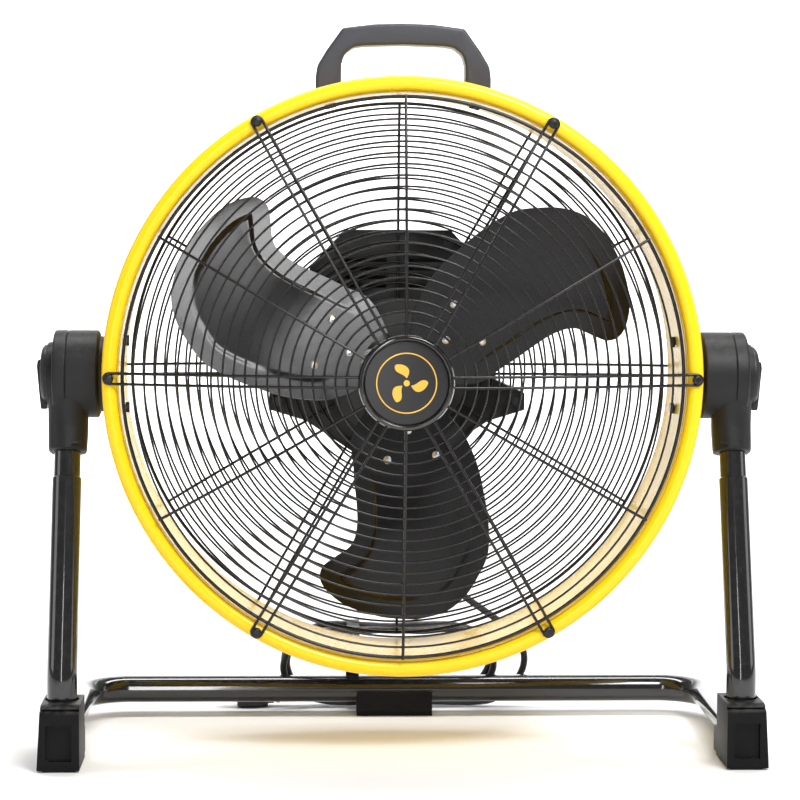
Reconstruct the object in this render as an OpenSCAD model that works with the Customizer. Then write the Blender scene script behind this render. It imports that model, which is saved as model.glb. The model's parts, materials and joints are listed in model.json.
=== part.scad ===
// Drum floor fan on a bent tube stand. Millimetres, +Z up, the air leaves towards -Y.
// Origin: on the floor, under the middle of the fan (its cord left out).
// Modules of the head are drawn about the fan axis: x right, y up, z towards the front.

/* [Head] */
// Height of the tilt axis, and of the fan axis, above the floor
axis_z = 381; // [378:1:386]
// Outer radius of the rolled bead at each end of the drum
bead_outer_r = 300; // [299:1:301]
// Length of the drum along the fan axis
drum_len = 148; // [146:1:150]
// Thickness of the sheet steel drum
drum_wall = 2; // [1.5:0.5:2.5]
// Radius swept by the blade tips
blade_tip_r = 254; // [245:1:258]
// Pitch of the blades
blade_pitch = 22; // [18:1:26]
// Number of wire rings in the front grille
front_ring_count = 21; // [15:1:21]
// Diameter of the round badge on the front grille
badge_d = 94; // [88:1:96]

/* [Stand] */
// Distance from the middle of the fan to the middle of a leg
leg_x = 337.5; // [337:0.5:339]
// Outer radius of the leg tubes
leg_r = 14.75; // [14.5:0.05:15]
// Forward lean of the legs
leg_lean = 18; // [17:0.5:19]
// Depth of the stand from the feet to the back of the cross tube
stand_depth = 300; // [298:1:302]
// Height of the middle of the floor tube
base_tube_z = 27; // [26:0.5:29]
// Bend radius of the floor tube's rear corners
corner_r = 50; // [45:1:60]

/* [Cord] */
// Diameter of the mains cord
cord_d = 7.6; // [7:0.1:8]
// Length of the tied hank
hank_len = 240; // [220:5:250]
// Width of the tied hank
hank_w = 96; // [92:1:98]
// Thickness of the tied hank, three strands deep
hank_h = 24; // [22:1:26]
// Lean of the hank against the cross tube
hank_lean = 20; // [18:1:22]

/* [Hidden] */
$fn = 96;

// Places that the whole model shares
pivot_y = -15;
slack = 0.05;

// Drum: a rolled wall with a hollow bead at each end
bead_r = 8;
bead_wall = 1.4;
bead_mid_r = bead_outer_r - bead_r;
bead_mid_z = drum_len / 2 - bead_r;
drum_inner_r = bead_mid_r - bead_r - 0.4;
drum_outer_r = drum_inner_r + drum_wall;
handle_bolt_angle = 15;
hub_bolt_z = 34;
screw_r = 2;

// Grilles: rings on a shallow cap, with spokes laid on their outer side
ring_pitch = 11.05;
outer_ring_r = drum_inner_r - 4.6;
ring_wire_r = 1.1;
outer_ring_wire_r = 1.8;
spoke_wire_r = 1.5;
hairpin_half_w = 5.2;
cap_edge_r = drum_inner_r - 1;
cap_edge_z = drum_len / 2 + spoke_wire_r + 0.2;
front_top_r = 44;
front_top_z = cap_edge_z + 47.3;
rear_top_r = 75;
rear_top_z = cap_edge_z + 21;
rear_ring_count = 18;
badge_z = front_top_z + 1.8;

// Motor and rotor, along the fan axis
rotor_z = -10;
shaft_r = 6;
motor_front_z = -50;
motor_plate_z = -93.5;
motor_plate_t = 2.8;
motor_r = 60;
bearing_r = 14;
bearing_w = 8;
stator_bore_r = 36;
armature_r = stator_bore_r - 0.6;
hub_r = 20;
arm_t = 2.5;
blade_t = 1.6;
rivet_spots = [[58, 8], [90, -8], [90, 24]];

// Rear housing
housing_front_z = -101;
housing_back_z = -146;
housing_wall = 2.5;
housing_outline = [
    [-56, 147], [56, 147], [93, 108], [105, 40], [105, -12], [136, -26], [136, -44], [97, -56],
    [34, -98], [-34, -98], [-97, -56], [-136, -44], [-136, -26], [-105, -12], [-105, 40],
    [-93, 108]
];
housing_screw_spots = [[-54, 133], [54, 133], [127, -35], [-127, -35]];
knob_y = 62;
knob_r = 20;
gland_x = 20;
gland_z = -125;
gland_len = 36;

// Tilt pivots
hub_face_x = 338;
hub_disc_r = 44.5;
hub_neck_r = 38;
hub_neck_x = 307;
socket_in_x = hub_face_x + 0.4;
socket_out_x = 358;
pivot_bolt_r = 4;
lever_in_x = socket_out_x + 0.4;
lever_out_x = 370;
sleeve_r = 20;
sleeve_end = 82;
stub_r = 13.4;
stub_start = 54;
leg_start = 108;
stub_end = 150;

// Feet and floor tube
foot_front_y = -stand_depth / 2;
foot_back_y = foot_front_y + 62;
saddle_back_y = foot_front_y + 90;
foot_w = 40;
foot_h = 73;
foot_edge_r = 14;
pad_t = 2;
leg_foot_y = foot_front_y + 40;
leg_bend_r = 60;
base_tube_r = 14.5;
base_wall = 1.5;
cross_y = stand_depth / 2 - base_tube_r;
base_tube_front_y = leg_foot_y + 17;
rear_pad_w = 82;

// Cord: where it runs from the gland to the floor, and the place of the hank
cord_route = [
    [20, 110, 247], [20, 110, 232], [21, 111, 215], [25, 114, 196], [33, 118, 177],
    [46, 124, 158], [63, 131, 140], [82, 139, 124], [102, 147, 109], [121, 155, 94],
    [136, 162, 78], [145, 167, 61], [145, 170, 44], [137, 171, 28], [124, 170, 15],
    [109, 168, 7.5], [92, 167, 5.5], [74, 166, 5.5]
];
cord_sides = 10;
hank_x = -5;
hank_y = cross_y + 26;

// ---- Shared helpers ----

// Places what is drawn about the fan axis
module on_head() {
    translate([0, pivot_y, axis_z]) rotate([90, 0, 0]) children();
}

// Draws the same thing on the left
module on_left() {
    mirror([1, 0, 0]) children();
}

// A cylinder along X
module x_rod(r, x0, x1) {
    translate([x0, 0, 0]) rotate([0, 90, 0]) cylinder(h = x1 - x0, r = r);
}

module tube(r, bore_r, z0, z1) {
    translate([0, 0, z0]) difference() {
        cylinder(h = z1 - z0, r = r);
        translate([0, 0, -1]) cylinder(h = z1 - z0 + 2, r = bore_r);
    }
}

// A quarter or part bend of a tube in the plane of X and Y, about the origin
module tube_bend(r, bore_r, bend_r, angle) {
    rotate_extrude(angle = angle) translate([bend_r, 0]) difference() {
        circle(r = r);
        circle(r = bore_r);
    }
}

// Frame of a right-hand leg: the pivot is the origin and the leg runs along -Z
module along_leg() {
    translate([leg_x, pivot_y, axis_z]) rotate([-leg_lean, 0, 0]) children();
}

// ---- Stand ----

// Where the slanted part of the leg meets the upright part, measured along the slant
leg_corner = (pivot_y - leg_foot_y) / sin(leg_lean);
leg_corner_z = axis_z - leg_corner * cos(leg_lean);
leg_bend_cut = leg_bend_r * tan(leg_lean / 2);

module leg_tube() {
    along_leg() translate([0, 0, -leg_corner + leg_bend_cut])
        tube(leg_r, stub_r + slack, 0, leg_corner - leg_bend_cut - leg_start);
    translate([leg_x, leg_foot_y + leg_bend_r, leg_corner_z - leg_bend_cut])
        rotate([90, 0, -90]) tube_bend(leg_r, stub_r + slack, leg_bend_r, leg_lean);
    translate([leg_x, leg_foot_y, 0])
        tube(leg_r, stub_r + slack, pad_t + 10, leg_corner_z - leg_bend_cut);
}

module left_leg_tube() color("#17181a") on_left() leg_tube();

module right_leg_tube() color("#17181a") leg_tube();

module leg_stub() {
    along_leg() tube(stub_r, stub_r - 1.5, -stub_end, -stub_start);
}

module leg_stubs() color("#202124") {
    leg_stub();
    on_left() leg_stub();
}

module base_side() {
    translate([leg_x, 0, base_tube_z]) rotate([-90, 0, 0])
        tube(base_tube_r, base_tube_r - base_wall, base_tube_front_y, cross_y - corner_r);
    translate([leg_x - corner_r, cross_y - corner_r, base_tube_z])
        tube_bend(base_tube_r, base_tube_r - base_wall, corner_r, 90);
}

module base_tube() color("#17181a") {
    base_side();
    on_left() base_side();
    translate([0, cross_y, base_tube_z]) rotate([0, 90, 0])
        tube(base_tube_r, base_tube_r - base_wall, corner_r - leg_x, leg_x - corner_r);
}

// Side view of the foot block, y along the sheet's x and z along its y
module foot_profile() {
    difference() {
        translate([foot_front_y, pad_t]) square([foot_back_y - foot_front_y, foot_h - pad_t]);
        translate([foot_front_y - 1, foot_h - foot_edge_r])
            square([foot_edge_r + 1, foot_edge_r + 1]);
    }
    translate([foot_front_y + foot_edge_r, foot_h - foot_edge_r]) circle(r = foot_edge_r);
}

module foot() {
    difference() {
        union() {
            translate([leg_x - foot_w / 2, 0, 0]) rotate([90, 0, 90])
                linear_extrude(height = foot_w) foot_profile();
            translate([leg_x - 18, foot_back_y - 1, pad_t])
                cube([36, saddle_back_y - foot_back_y + 1, base_tube_z - pad_t]);
        }
        translate([leg_x, leg_foot_y, pad_t + 9.8]) cylinder(h = foot_h, r = leg_r + slack);
        translate([leg_x, leg_foot_y, foot_h - 7]) cylinder(h = 10, r = leg_r + 2.2);
        translate([leg_x, base_tube_front_y - 0.3, base_tube_z]) rotate([-90, 0, 0])
            cylinder(h = 80, r = base_tube_r + slack);
        translate([leg_x - 12.5, foot_front_y - 1, 11]) cube([25, 3.5, 36]);
        for (screw_y = foot_screw_ys)
            translate([leg_x, screw_y, -1]) cylinder(h = 20, r = screw_r + 0.1);
    }
}

foot_screw_ys = [foot_front_y + 24, saddle_back_y - 14];

module left_foot() color("#2b2d2f") on_left() foot();

module right_foot() color("#2b2d2f") foot();

module foot_pads() {
    difference() {
        union() for (pad_y = [foot_front_y + 3, saddle_back_y - 28])
            translate([leg_x - 16, pad_y, 0]) cube([32, 26, pad_t - 0.02]);
        for (screw_y = foot_screw_ys)
            translate([leg_x, screw_y, -1]) cylinder(h = 4, r = 6);
    }
}

module rubber_feet() color("#141414") {
    foot_pads();
    on_left() foot_pads();
}

module rear_foot_pad() color("#26282a") difference() {
    translate([-rear_pad_w / 2, cross_y - 19, 0]) cube([rear_pad_w, 33.5, base_tube_z - 0.5]);
    translate([-rear_pad_w, cross_y, base_tube_z]) rotate([0, 90, 0])
        cylinder(h = 2 * rear_pad_w, r = base_tube_r + slack);
}

module foot_screw_pair() {
    for (screw_y = foot_screw_ys) translate([leg_x, screw_y, 0]) {
        translate([0, 0, 0.3]) cylinder(h = pad_t - 0.35, r = 4.5);
        translate([0, 0, 0.3]) cylinder(h = 10.7, r = screw_r);
    }
}

module foot_screws() color("#8c8f92") {
    foot_screw_pair();
    on_left() foot_screw_pair();
}

// ---- Tilt pivots ----

// Outer half of a pivot: a tapered cup with a sleeve for the leg's stub
module pivot_socket() {
    difference() {
        union() {
            translate([0, pivot_y, axis_z]) translate([socket_in_x, 0, 0]) rotate([0, 90, 0]) {
                cylinder(h = 8, r = hub_disc_r);
                translate([0, 0, 8])
                    cylinder(h = socket_out_x - socket_in_x - 8, r1 = hub_disc_r, r2 = 40);
            }
            along_leg() translate([0, 0, -sleeve_end]) {
                cylinder(h = sleeve_end - 26, r = sleeve_r);
                translate([-sleeve_r, 0, 0]) cube([2 * sleeve_r, 17, sleeve_end - 26]);
            }
        }
        translate([0, pivot_y, axis_z]) {
            x_rod(hub_disc_r + 0.8, leg_x - 30, socket_in_x);
            x_rod(pivot_bolt_r + slack, leg_x - 30, socket_out_x + 1);
        }
        along_leg() translate([0, 0, -sleeve_end - 1])
            cylinder(h = sleeve_end - stub_start + 1.3, r = stub_r + slack);
    }
}

module left_pivot_socket() color("#2e2f32") on_left() pivot_socket();

module right_pivot_socket() color("#2e2f32") pivot_socket();

// Round knob with a lever bar across it, on the end of the pivot bolt
module lock_lever() {
    translate([0, pivot_y, axis_z]) difference() {
        union() {
            x_rod(30, lever_in_x, lever_in_x + 5);
            translate([lever_in_x, -9, -35]) cube([lever_out_x - lever_in_x, 18, 49]);
        }
        x_rod(pivot_bolt_r + slack, lever_in_x - 1, lever_out_x - 3);
    }
}

module left_lock_lever() color("#242528") on_left() lock_lever();

module right_lock_lever() color("#242528") lock_lever();

// Inner half of a pivot: a round boss bolted to the side of the drum
module pivot_hub() {
    difference() {
        translate([0, pivot_y, axis_z]) difference() {
            union() {
                x_rod(hub_neck_r, drum_outer_r - 12, hub_neck_x);
                x_rod(hub_disc_r, hub_neck_x, hub_face_x);
            }
            x_rod(pivot_bolt_r + slack, drum_outer_r - 20, hub_face_x + 1);
            for (s = [-1, 1]) translate([0, 0, s * hub_bolt_z])
                x_rod(3 + slack, drum_outer_r - 20, drum_outer_r + 14);
            x_rod(9, drum_outer_r - 20, drum_outer_r + 8);
        }
        on_head() translate([0, 0, -60]) cylinder(h = 120, r = drum_outer_r + slack, $fn = 180);
    }
}

module left_pivot_hub() color("#2e2f32") on_left() pivot_hub();

module right_pivot_hub() color("#2e2f32") pivot_hub();

module pivot_bolt() {
    translate([0, pivot_y, axis_z]) {
        x_rod(8, drum_outer_r + 3, drum_outer_r + 7.9);
        x_rod(pivot_bolt_r, drum_outer_r + 3, lever_out_x - 3.4);
    }
}

module pivot_bolts() color("#8c8f92") {
    pivot_bolt();
    on_left() pivot_bolt();
}

module hub_bolt_pair() {
    translate([0, pivot_y, axis_z]) for (s = [-1, 1]) translate([0, 0, s * hub_bolt_z]) {
        x_rod(5.5, drum_inner_r - 6.8, drum_inner_r - 3);
        x_rod(3, drum_inner_r - 6, drum_outer_r + 13);
    }
}

module hub_bolts() color("#1c1c1e") {
    hub_bolt_pair();
    on_left() hub_bolt_pair();
}

// ---- Drum and handle ----

module drum_shell() color("#f7cf12") on_head() difference() {
    rotate_extrude($fn = 180) {
        for (s = [-1, 1]) translate([bead_mid_r, s * bead_mid_z]) difference() {
            circle(r = bead_r);
            circle(r = bead_r - bead_wall);
        }
        translate([drum_inner_r, -bead_mid_z]) square([drum_wall, 2 * bead_mid_z]);
    }
    for (spoke = [0:5], face = [0, 1]) mirror([0, 0, face]) rotate([0, 0, 60 * spoke])
        translate([bead_mid_r, 0, bead_mid_z]) cylinder(h = 20, r = screw_r + slack);
    for (s = [-1, 1]) {
        rotate([0, 0, s * handle_bolt_angle]) translate([0, drum_inner_r - 5, 0])
            rotate([-90, 0, 0]) cylinder(h = 12, r = 3 + slack);
        for (up = [-1, 1]) translate([s * (drum_inner_r - 14), up * hub_bolt_z, 0])
            rotate([0, s * 90, 0]) cylinder(h = 25, r = 3 + slack);
    }
}

handle_outer = [
    [-89, 270], [-89, 306], [-84, 316], [-62, 350], [-54, 355], [54, 355], [62, 350],
    [84, 316], [89, 306], [89, 270]
];
handle_inner = [
    [-63, 200], [-63, 316], [-49, 331], [-40, 333], [40, 333], [49, 331], [63, 316], [63, 200]
];
handle_depth = 36;

module carry_handle() color("#4b4d55") on_head() difference() {
    translate([0, 0, -handle_depth / 2]) linear_extrude(height = handle_depth) difference() {
        polygon(handle_outer);
        polygon(handle_inner);
    }
    translate([0, 0, -60]) cylinder(h = 120, r = drum_outer_r + slack, $fn = 180);
    for (s = [-1, 1]) rotate([0, 0, s * handle_bolt_angle]) translate([0, drum_outer_r - 1, 0])
        rotate([-90, 0, 0]) cylinder(h = 17, r = 3 + slack);
}

module handle_bolts() color("#1c1c1e") on_head()
    for (s = [-1, 1]) rotate([0, 0, s * handle_bolt_angle]) rotate([-90, 0, 0]) {
        translate([0, 0, drum_inner_r - 4]) cylinder(h = 3.8, r = 5.5);
        translate([0, 0, drum_inner_r - 1]) cylinder(h = 16, r = 3);
    }

// ---- Grilles ----

// Centre of the sphere through two points given as [radius from the axis, height]
function cap_centre(a, b) =
    (b.x * b.x + b.y * b.y - a.x * a.x - a.y * a.y) / (2 * (b.y - a.y));

// A wire along a meridian of the cap, from one radius to another, over the X axis
module cap_wire(centre, sphere_r, r0, r1) {
    a0 = asin(r0 / sphere_r);
    a1 = asin(r1 / sphere_r);
    translate([0, 0, centre]) rotate(a = 240, v = [1, 1, 1]) rotate([0, 0, a0])
        rotate_extrude(angle = a1 - a0) translate([sphere_r, 0])
            circle(r = spoke_wire_r, $fn = 24);
}

// Rings, six hairpin spokes that loop round the screws, and six single spokes
module wire_grille(top_r, top_z, ring_count) {
    centre = cap_centre([cap_edge_r, cap_edge_z], [top_r, top_z]);
    sphere_r = norm([cap_edge_r, cap_edge_z - centre]);
    for (ring = [0:ring_count - 1]) {
        r = outer_ring_r - ring * ring_pitch;
        wire_r = ring == 0 ? outer_ring_wire_r : ring_wire_r;
        lay_r = sphere_r - spoke_wire_r - wire_r - slack;
        rotate_extrude($fn = 120)
            translate([r, centre + sqrt(lay_r * lay_r - r * r)]) circle(r = wire_r, $fn = 24);
    }
    for (spoke = [0:5]) rotate([0, 0, 60 * spoke]) {
        for (s = [-1, 1]) translate([0, s * hairpin_half_w, 0]) {
            cap_wire(centre, sphere_r, top_r, cap_edge_r - 1);
            translate([cap_edge_r, 0, cap_edge_z]) rotate([0, 90, 0])
                cylinder(h = bead_mid_r - cap_edge_r, r = spoke_wire_r, $fn = 24);
        }
        translate([bead_mid_r, 0, cap_edge_z]) rotate([0, 0, -90])
            rotate_extrude(angle = 180) translate([hairpin_half_w, 0])
                circle(r = spoke_wire_r, $fn = 24);
    }
    for (spoke = [0:5]) rotate([0, 0, 60 * spoke + 30])
        cap_wire(centre, sphere_r, top_r, outer_ring_r + 1);
}

module front_grille() color("#1a1b1c") on_head()
    wire_grille(front_top_r, front_top_z, front_ring_count);

module rear_grille() color("#1a1b1c") on_head() mirror([0, 0, 1])
    wire_grille(rear_top_r, rear_top_z, rear_ring_count);

module grille_screws() color("#1c1c1e") on_head()
    for (spoke = [0:5], face = [0, 1]) mirror([0, 0, face]) rotate([0, 0, 60 * spoke])
        translate([bead_mid_r, 0, 0]) {
            translate([0, 0, cap_edge_z + spoke_wire_r + slack]) cylinder(h = 2.6, r = 5.6);
            translate([0, 0, bead_mid_z - 2]) cylinder(h = 14, r = screw_r);
        }

module grille_clamp_plate() color("#1a1b1c") on_head()
    translate([0, 0, front_top_z - 8.5]) cylinder(h = 3, r = front_top_r + 1);

module badge_ring() color("#0c0c0d") on_head() translate([0, 0, badge_z]) difference() {
    cylinder(h = 9, r1 = badge_d / 2, r2 = badge_d / 2 - 3);
    translate([0, 0, -1]) cylinder(h = 11, r = badge_d / 2 - 6);
}

module badge_disc() color("#141414") on_head() translate([0, 0, badge_z])
    cylinder(h = 5, r = badge_d / 2 - 6 - slack);

// ---- Motor ----

module motor_plate() color("#2a2a2c") on_head() difference() {
    union() {
        translate([0, 0, motor_plate_z - motor_plate_t])
            cylinder(h = motor_plate_t, r = rear_top_r - slack);
        translate([0, 0, motor_plate_z - 0.5])
            cylinder(h = bearing_w + 2.5, r = bearing_r + 3);
    }
    translate([0, 0, motor_plate_z + 1]) cylinder(h = 20, r = bearing_r + slack);
    for (turn = [45:90:315]) rotate([0, 0, turn]) translate([52, 0, motor_plate_z - 5])
        cylinder(h = 10, r = 2.5 + slack);
}

module motor_can() color("#3a3b3e") on_head() difference() {
    union() {
        tube(motor_r, motor_r - 2.5, motor_plate_z + slack, motor_front_z);
        translate([0, 0, motor_front_z - 3]) cylinder(h = 3, r = motor_r);
        translate([0, 0, motor_front_z - bearing_w - 4]) cylinder(h = 10, r = bearing_r + 3);
        for (turn = [45:90:315]) rotate([0, 0, turn])
            translate([52, 0, motor_plate_z + slack]) cylinder(h = 12, r = 6);
    }
    translate([0, 0, motor_front_z - 20]) cylinder(h = 30, r = shaft_r + 2);
    translate([0, 0, motor_front_z - bearing_w - 10])
        cylinder(h = bearing_w + 6, r = bearing_r + slack);
    for (turn = [45:90:315]) rotate([0, 0, turn]) translate([52, 0, motor_plate_z - 5])
        cylinder(h = 13, r = 2.5 + slack);
}

module stator_core() color("#9a6a3a") on_head()
    tube(47, stator_bore_r, motor_plate_z + 13, motor_front_z - 13.5);

module motor_bearings() color("#b9bcc0") on_head() {
    tube(bearing_r, shaft_r + slack, motor_plate_z + 1, motor_plate_z + 1 + bearing_w);
    tube(bearing_r, shaft_r + slack, motor_front_z - 4 - bearing_w, motor_front_z - 4);
}

module motor_bolts() color("#8c8f92") on_head()
    for (turn = [45:90:315]) rotate([0, 0, turn]) translate([52, 0, motor_plate_z]) {
        translate([0, 0, -motor_plate_t - 3]) cylinder(h = 3, r = 4.5, $fn = 6);
        translate([0, 0, -motor_plate_t - 1]) cylinder(h = 9, r = 2.5);
    }

// ---- Rear housing ----

// Outline of the housing, drawn in by a margin at its top, sides and bottom
module housing_sheet(margin) {
    reach = (136 - margin) / 136;
    polygon([for (p = housing_outline) p * reach]);
}

module rear_housing() color("#222326") on_head() difference() {
    translate([0, 0, housing_back_z])
        linear_extrude(height = housing_front_z - housing_back_z - slack) housing_sheet(0);
    translate([0, 0, housing_back_z + housing_wall]) linear_extrude(height = 60)
        housing_sheet(5);
    translate([0, knob_y, housing_back_z - 5]) cylinder(h = 15, r = 4.5);
    translate([gland_x, -90, gland_z]) rotate([90, 0, 0]) cylinder(h = 20, r = 6);
    for (row = [0:5]) translate([-40, -14 - 9 * row, housing_back_z - 5]) cube([80, 4, 15]);
}

louvre_rows = 4;

module housing_front() color("#222326") on_head() difference() {
    translate([0, 0, housing_front_z]) linear_extrude(height = housing_wall) difference() {
        housing_sheet(0);
        circle(r = 62);
    }
    for (row = [0:louvre_rows - 1], s = [-1, 1])
        translate([s * 34 - 22, 113 - 9 * row, housing_front_z - 5]) cube([44, 3.4, 15]);
}

module housing_screws() color("#1c1c1e") on_head()
    for (p = housing_screw_spots) translate([p.x, p.y, housing_front_z + housing_wall + 0.02])
        cylinder(h = 2.4, r = 4.6);

module run_capacitor() color("#c9ccd0") on_head()
    translate([-62, 30, housing_back_z + 20]) rotate([-90, 0, 0]) cylinder(h = 48, r = 15);

module speed_switch() color("#e6e2d6") on_head() translate([0, knob_y, 0]) {
    translate([-17, -17, housing_back_z + housing_wall + 0.1]) cube([34, 34, 26]);
    translate([0, 0, housing_back_z - 9]) cylinder(h = 14, r = 3);
}

module speed_knob() color("#1b1b1d") on_head()
    translate([0, knob_y, housing_back_z]) difference() {
        union() {
            translate([0, 0, -8.4]) cylinder(h = 8, r = knob_r);
            translate([-4, -knob_r, -16]) cube([8, 2 * knob_r, 9]);
        }
        translate([0, 0, -9.5]) cylinder(h = 12, r = 3 + slack);
    }

// Boss in the bottom of the housing, with the tapered sleeve that the cord leaves by
module cord_gland() color("#161617") on_head()
    translate([gland_x, -axis_z, gland_z]) rotate([-90, 0, 0]) {
        translate([0, 0, 247]) cylinder(h = gland_len - 10, r1 = cord_d / 2 + 0.6, r2 = 7.5);
        translate([0, 0, 247 + gland_len - 10]) cylinder(h = 12, r = 5.8);
    }

// ---- Rotor ----

// Outline of a blade as [radius, angle from its own centre line]: lobed leading edge, smooth
// trailing edge. The radii are shares of the tip radius.
blade_polar = [
    [0.17, -42], [0.25, -40], [0.335, -36], [0.405, -28], [0.49, -22], [0.57, -17.8],
    [0.65, -15.4], [0.73, -15.4], [0.8, -18.8], [0.86, -21.2], [0.915, -20.6], [0.955, -17.4],
    [0.985, -12], [1, -4], [1, 4], [0.975, 11], [0.925, 16.5], [0.865, 21], [0.8, 25.6],
    [0.73, 28.8], [0.65, 32], [0.57, 35.3], [0.49, 39.3], [0.405, 43.6], [0.32, 47.8],
    [0.24, 50], [0.17, 48]
];

// The flat sheet lies in the pitched plane, so its width grows by the pitch
module blade_sheet() {
    polygon([for (p = blade_polar) [
        blade_tip_r * p[0] * cos(p[1]), blade_tip_r * p[0] * sin(p[1]) / cos(blade_pitch)
    ]]);
}

// Plane of a blade: x out along its centre line, z out of its front face
module blade_plane(angle) {
    rotate([0, 0, angle]) translate([0, 0, rotor_z]) rotate([blade_pitch, 0, 0]) children();
}

module rivet_shanks(r, z0, h) {
    for (p = rivet_spots) translate([p[0] * cos(p[1]), p[0] * sin(p[1]) / cos(blade_pitch), z0])
        cylinder(h = h, r = r, $fn = 24);
}

module blade(angle) {
    on_head() blade_plane(angle) difference() {
        linear_extrude(height = blade_t) blade_sheet();
        rivet_shanks(2.5 + slack, -5, 10);
    }
}

module blade_a() color("#1d1e20") blade(30);

module blade_b() color("#1d1e20") blade(150);

module blade_c() color("#1d1e20") blade(270);

arm_outline = [[0, -30], [62, -30], [100, -22], [106, 0], [104, 40], [88, 56], [40, 34], [0, 30]];

module blade_spider() color("#1d1e20") on_head() difference() {
    union() {
        translate([0, 0, -34]) cylinder(h = 30, r = hub_r);
        for (turn = [30:120:270]) blade_plane(turn) translate([0, 0, -arm_t - slack])
            intersection() {
                linear_extrude(height = arm_t) polygon(arm_outline);
                translate([12, -100, -1]) cube([200, 200, 10]);
            }
    }
    translate([0, 0, -60]) cylinder(h = 100, r = shaft_r + slack);
    for (turn = [30:120:270]) blade_plane(turn) rivet_shanks(2.5 + slack, -8, 16);
}

module blade_rivets() color("#c4c7ca") on_head()
    for (turn = [30:120:270]) blade_plane(turn) {
        rivet_shanks(2.5, -arm_t - 1, blade_t + arm_t + 2);
        rivet_shanks(4.2, blade_t + 0.02, 1.6);
        rivet_shanks(4.2, -arm_t - 1.6, 1.5);
    }

module motor_shaft() color("#b9bcc0") on_head()
    translate([0, 0, motor_plate_z + 1.2]) cylinder(h = 100, r = shaft_r);

module armature() color("#6b6e73") on_head()
    tube(armature_r, shaft_r + slack, motor_plate_z + 13.5, motor_front_z - 14);

module hub_nut() color("#b9bcc0") on_head() translate([0, 0, -3.9]) difference() {
    cylinder(h = 8, r = 10, $fn = 6);
    translate([0, 0, -1]) cylinder(h = 12, r = shaft_r + slack, $fn = 48);
}

// ---- Cord ----

function unit(v) = v / norm(v);

// Direction of the route at a point, from the points on either side
function heading(path, i) =
    unit(path[min(i + 1, len(path) - 1)] - path[max(i - 1, 0)]);

// One tube swept along a path, each ring square to its own heading
module swept_tube(path, r, sides) {
    rings = [for (i = [0:len(path) - 1]) let (
        way = heading(path, i),
        across = unit(cross(way, [1, 3, 0])),
        over = cross(way, across)
    ) [for (k = [0:sides - 1])
        path[i] + r * (cos(360 * k / sides) * across + sin(360 * k / sides) * over)]];
    last = len(path) - 1;
    polyhedron(
        points = [for (ring = rings) each ring],
        faces = concat(
            [[for (k = [0:sides - 1]) k]],
            [for (i = [0:last - 1], k = [0:sides - 1]) [
                i * sides + k, (i + 1) * sides + k,
                (i + 1) * sides + (k + 1) % sides, i * sides + (k + 1) % sides
            ]],
            [[for (k = [sides - 1:-1:0]) last * sides + k]]
        )
    );
}

module cord_lead() color("#18191b") swept_tube(cord_route, cord_d / 2, cord_sides);

// The hank stands on edge and leans forwards onto the cross tube: x along it, y up it
module on_hank() {
    translate([hank_x, hank_y, 0]) rotate([90 + hank_lean, 0, 0])
        translate([0, 1.8, -hank_h - 1.8]) children();
}

module cord_hank() color("#18191b") on_hank() linear_extrude(height = hank_h) union() {
    translate([(hank_w - hank_len) / 2, 0]) square([hank_len - hank_w, hank_w]);
    for (s = [-1, 1]) translate([s * (hank_len - hank_w) / 2, hank_w / 2])
        circle(r = hank_w / 2);
}

module cord_tie() color("#2c2c2e") on_hank() translate([-47, 0, 0]) difference() {
    translate([0, -1.6, -1.6]) cube([14, hank_w + 3.2, hank_h + 3.2]);
    translate([-1, -0.05, -0.05]) cube([16, hank_w + 0.1, hank_h + 0.1]);
}

plug_x = -170;
plug_y = hank_y + 12;

// Three-pin plug lying on its side, its pins pointing away from the hank
module power_plug() color("#161617") translate([plug_x, plug_y, 0]) {
    translate([-2, -13, 0]) cube([34, 26, 22]);
    translate([32, 0, 11]) rotate([0, 90, 0]) cylinder(h = 40, r1 = 8, r2 = 5);
    for (s = [-1, 1]) translate([-20, s * 6.35 - 0.75, 8]) cube([19, 1.5, 6.3]);
    translate([-22, 0, 17.5]) rotate([0, 90, 0]) cylinder(h = 21, r = 2.4);
}

// ---- Output ----

left_leg_tube();
right_leg_tube();
leg_stubs();
base_tube();
left_foot();
right_foot();
rubber_feet();
rear_foot_pad();
foot_screws();
left_pivot_socket();
right_pivot_socket();
left_lock_lever();
right_lock_lever();
drum_shell();
left_pivot_hub();
right_pivot_hub();
pivot_bolts();
hub_bolts();
carry_handle();
handle_bolts();
front_grille();
rear_grille();
grille_screws();
grille_clamp_plate();
badge_ring();
badge_disc();
motor_plate();
motor_can();
stator_core();
motor_bearings();
motor_bolts();
rear_housing();
housing_front();
housing_screws();
run_capacitor();
speed_switch();
cord_gland();
blade_a();
blade_b();
blade_c();
blade_spider();
blade_rivets();
motor_shaft();
armature();
hub_nut();
speed_knob();
cord_lead();
cord_hank();
cord_tie();
power_plug();
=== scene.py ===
import json
import math
import bmesh
import bpy
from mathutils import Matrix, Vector, kdtree

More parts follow.
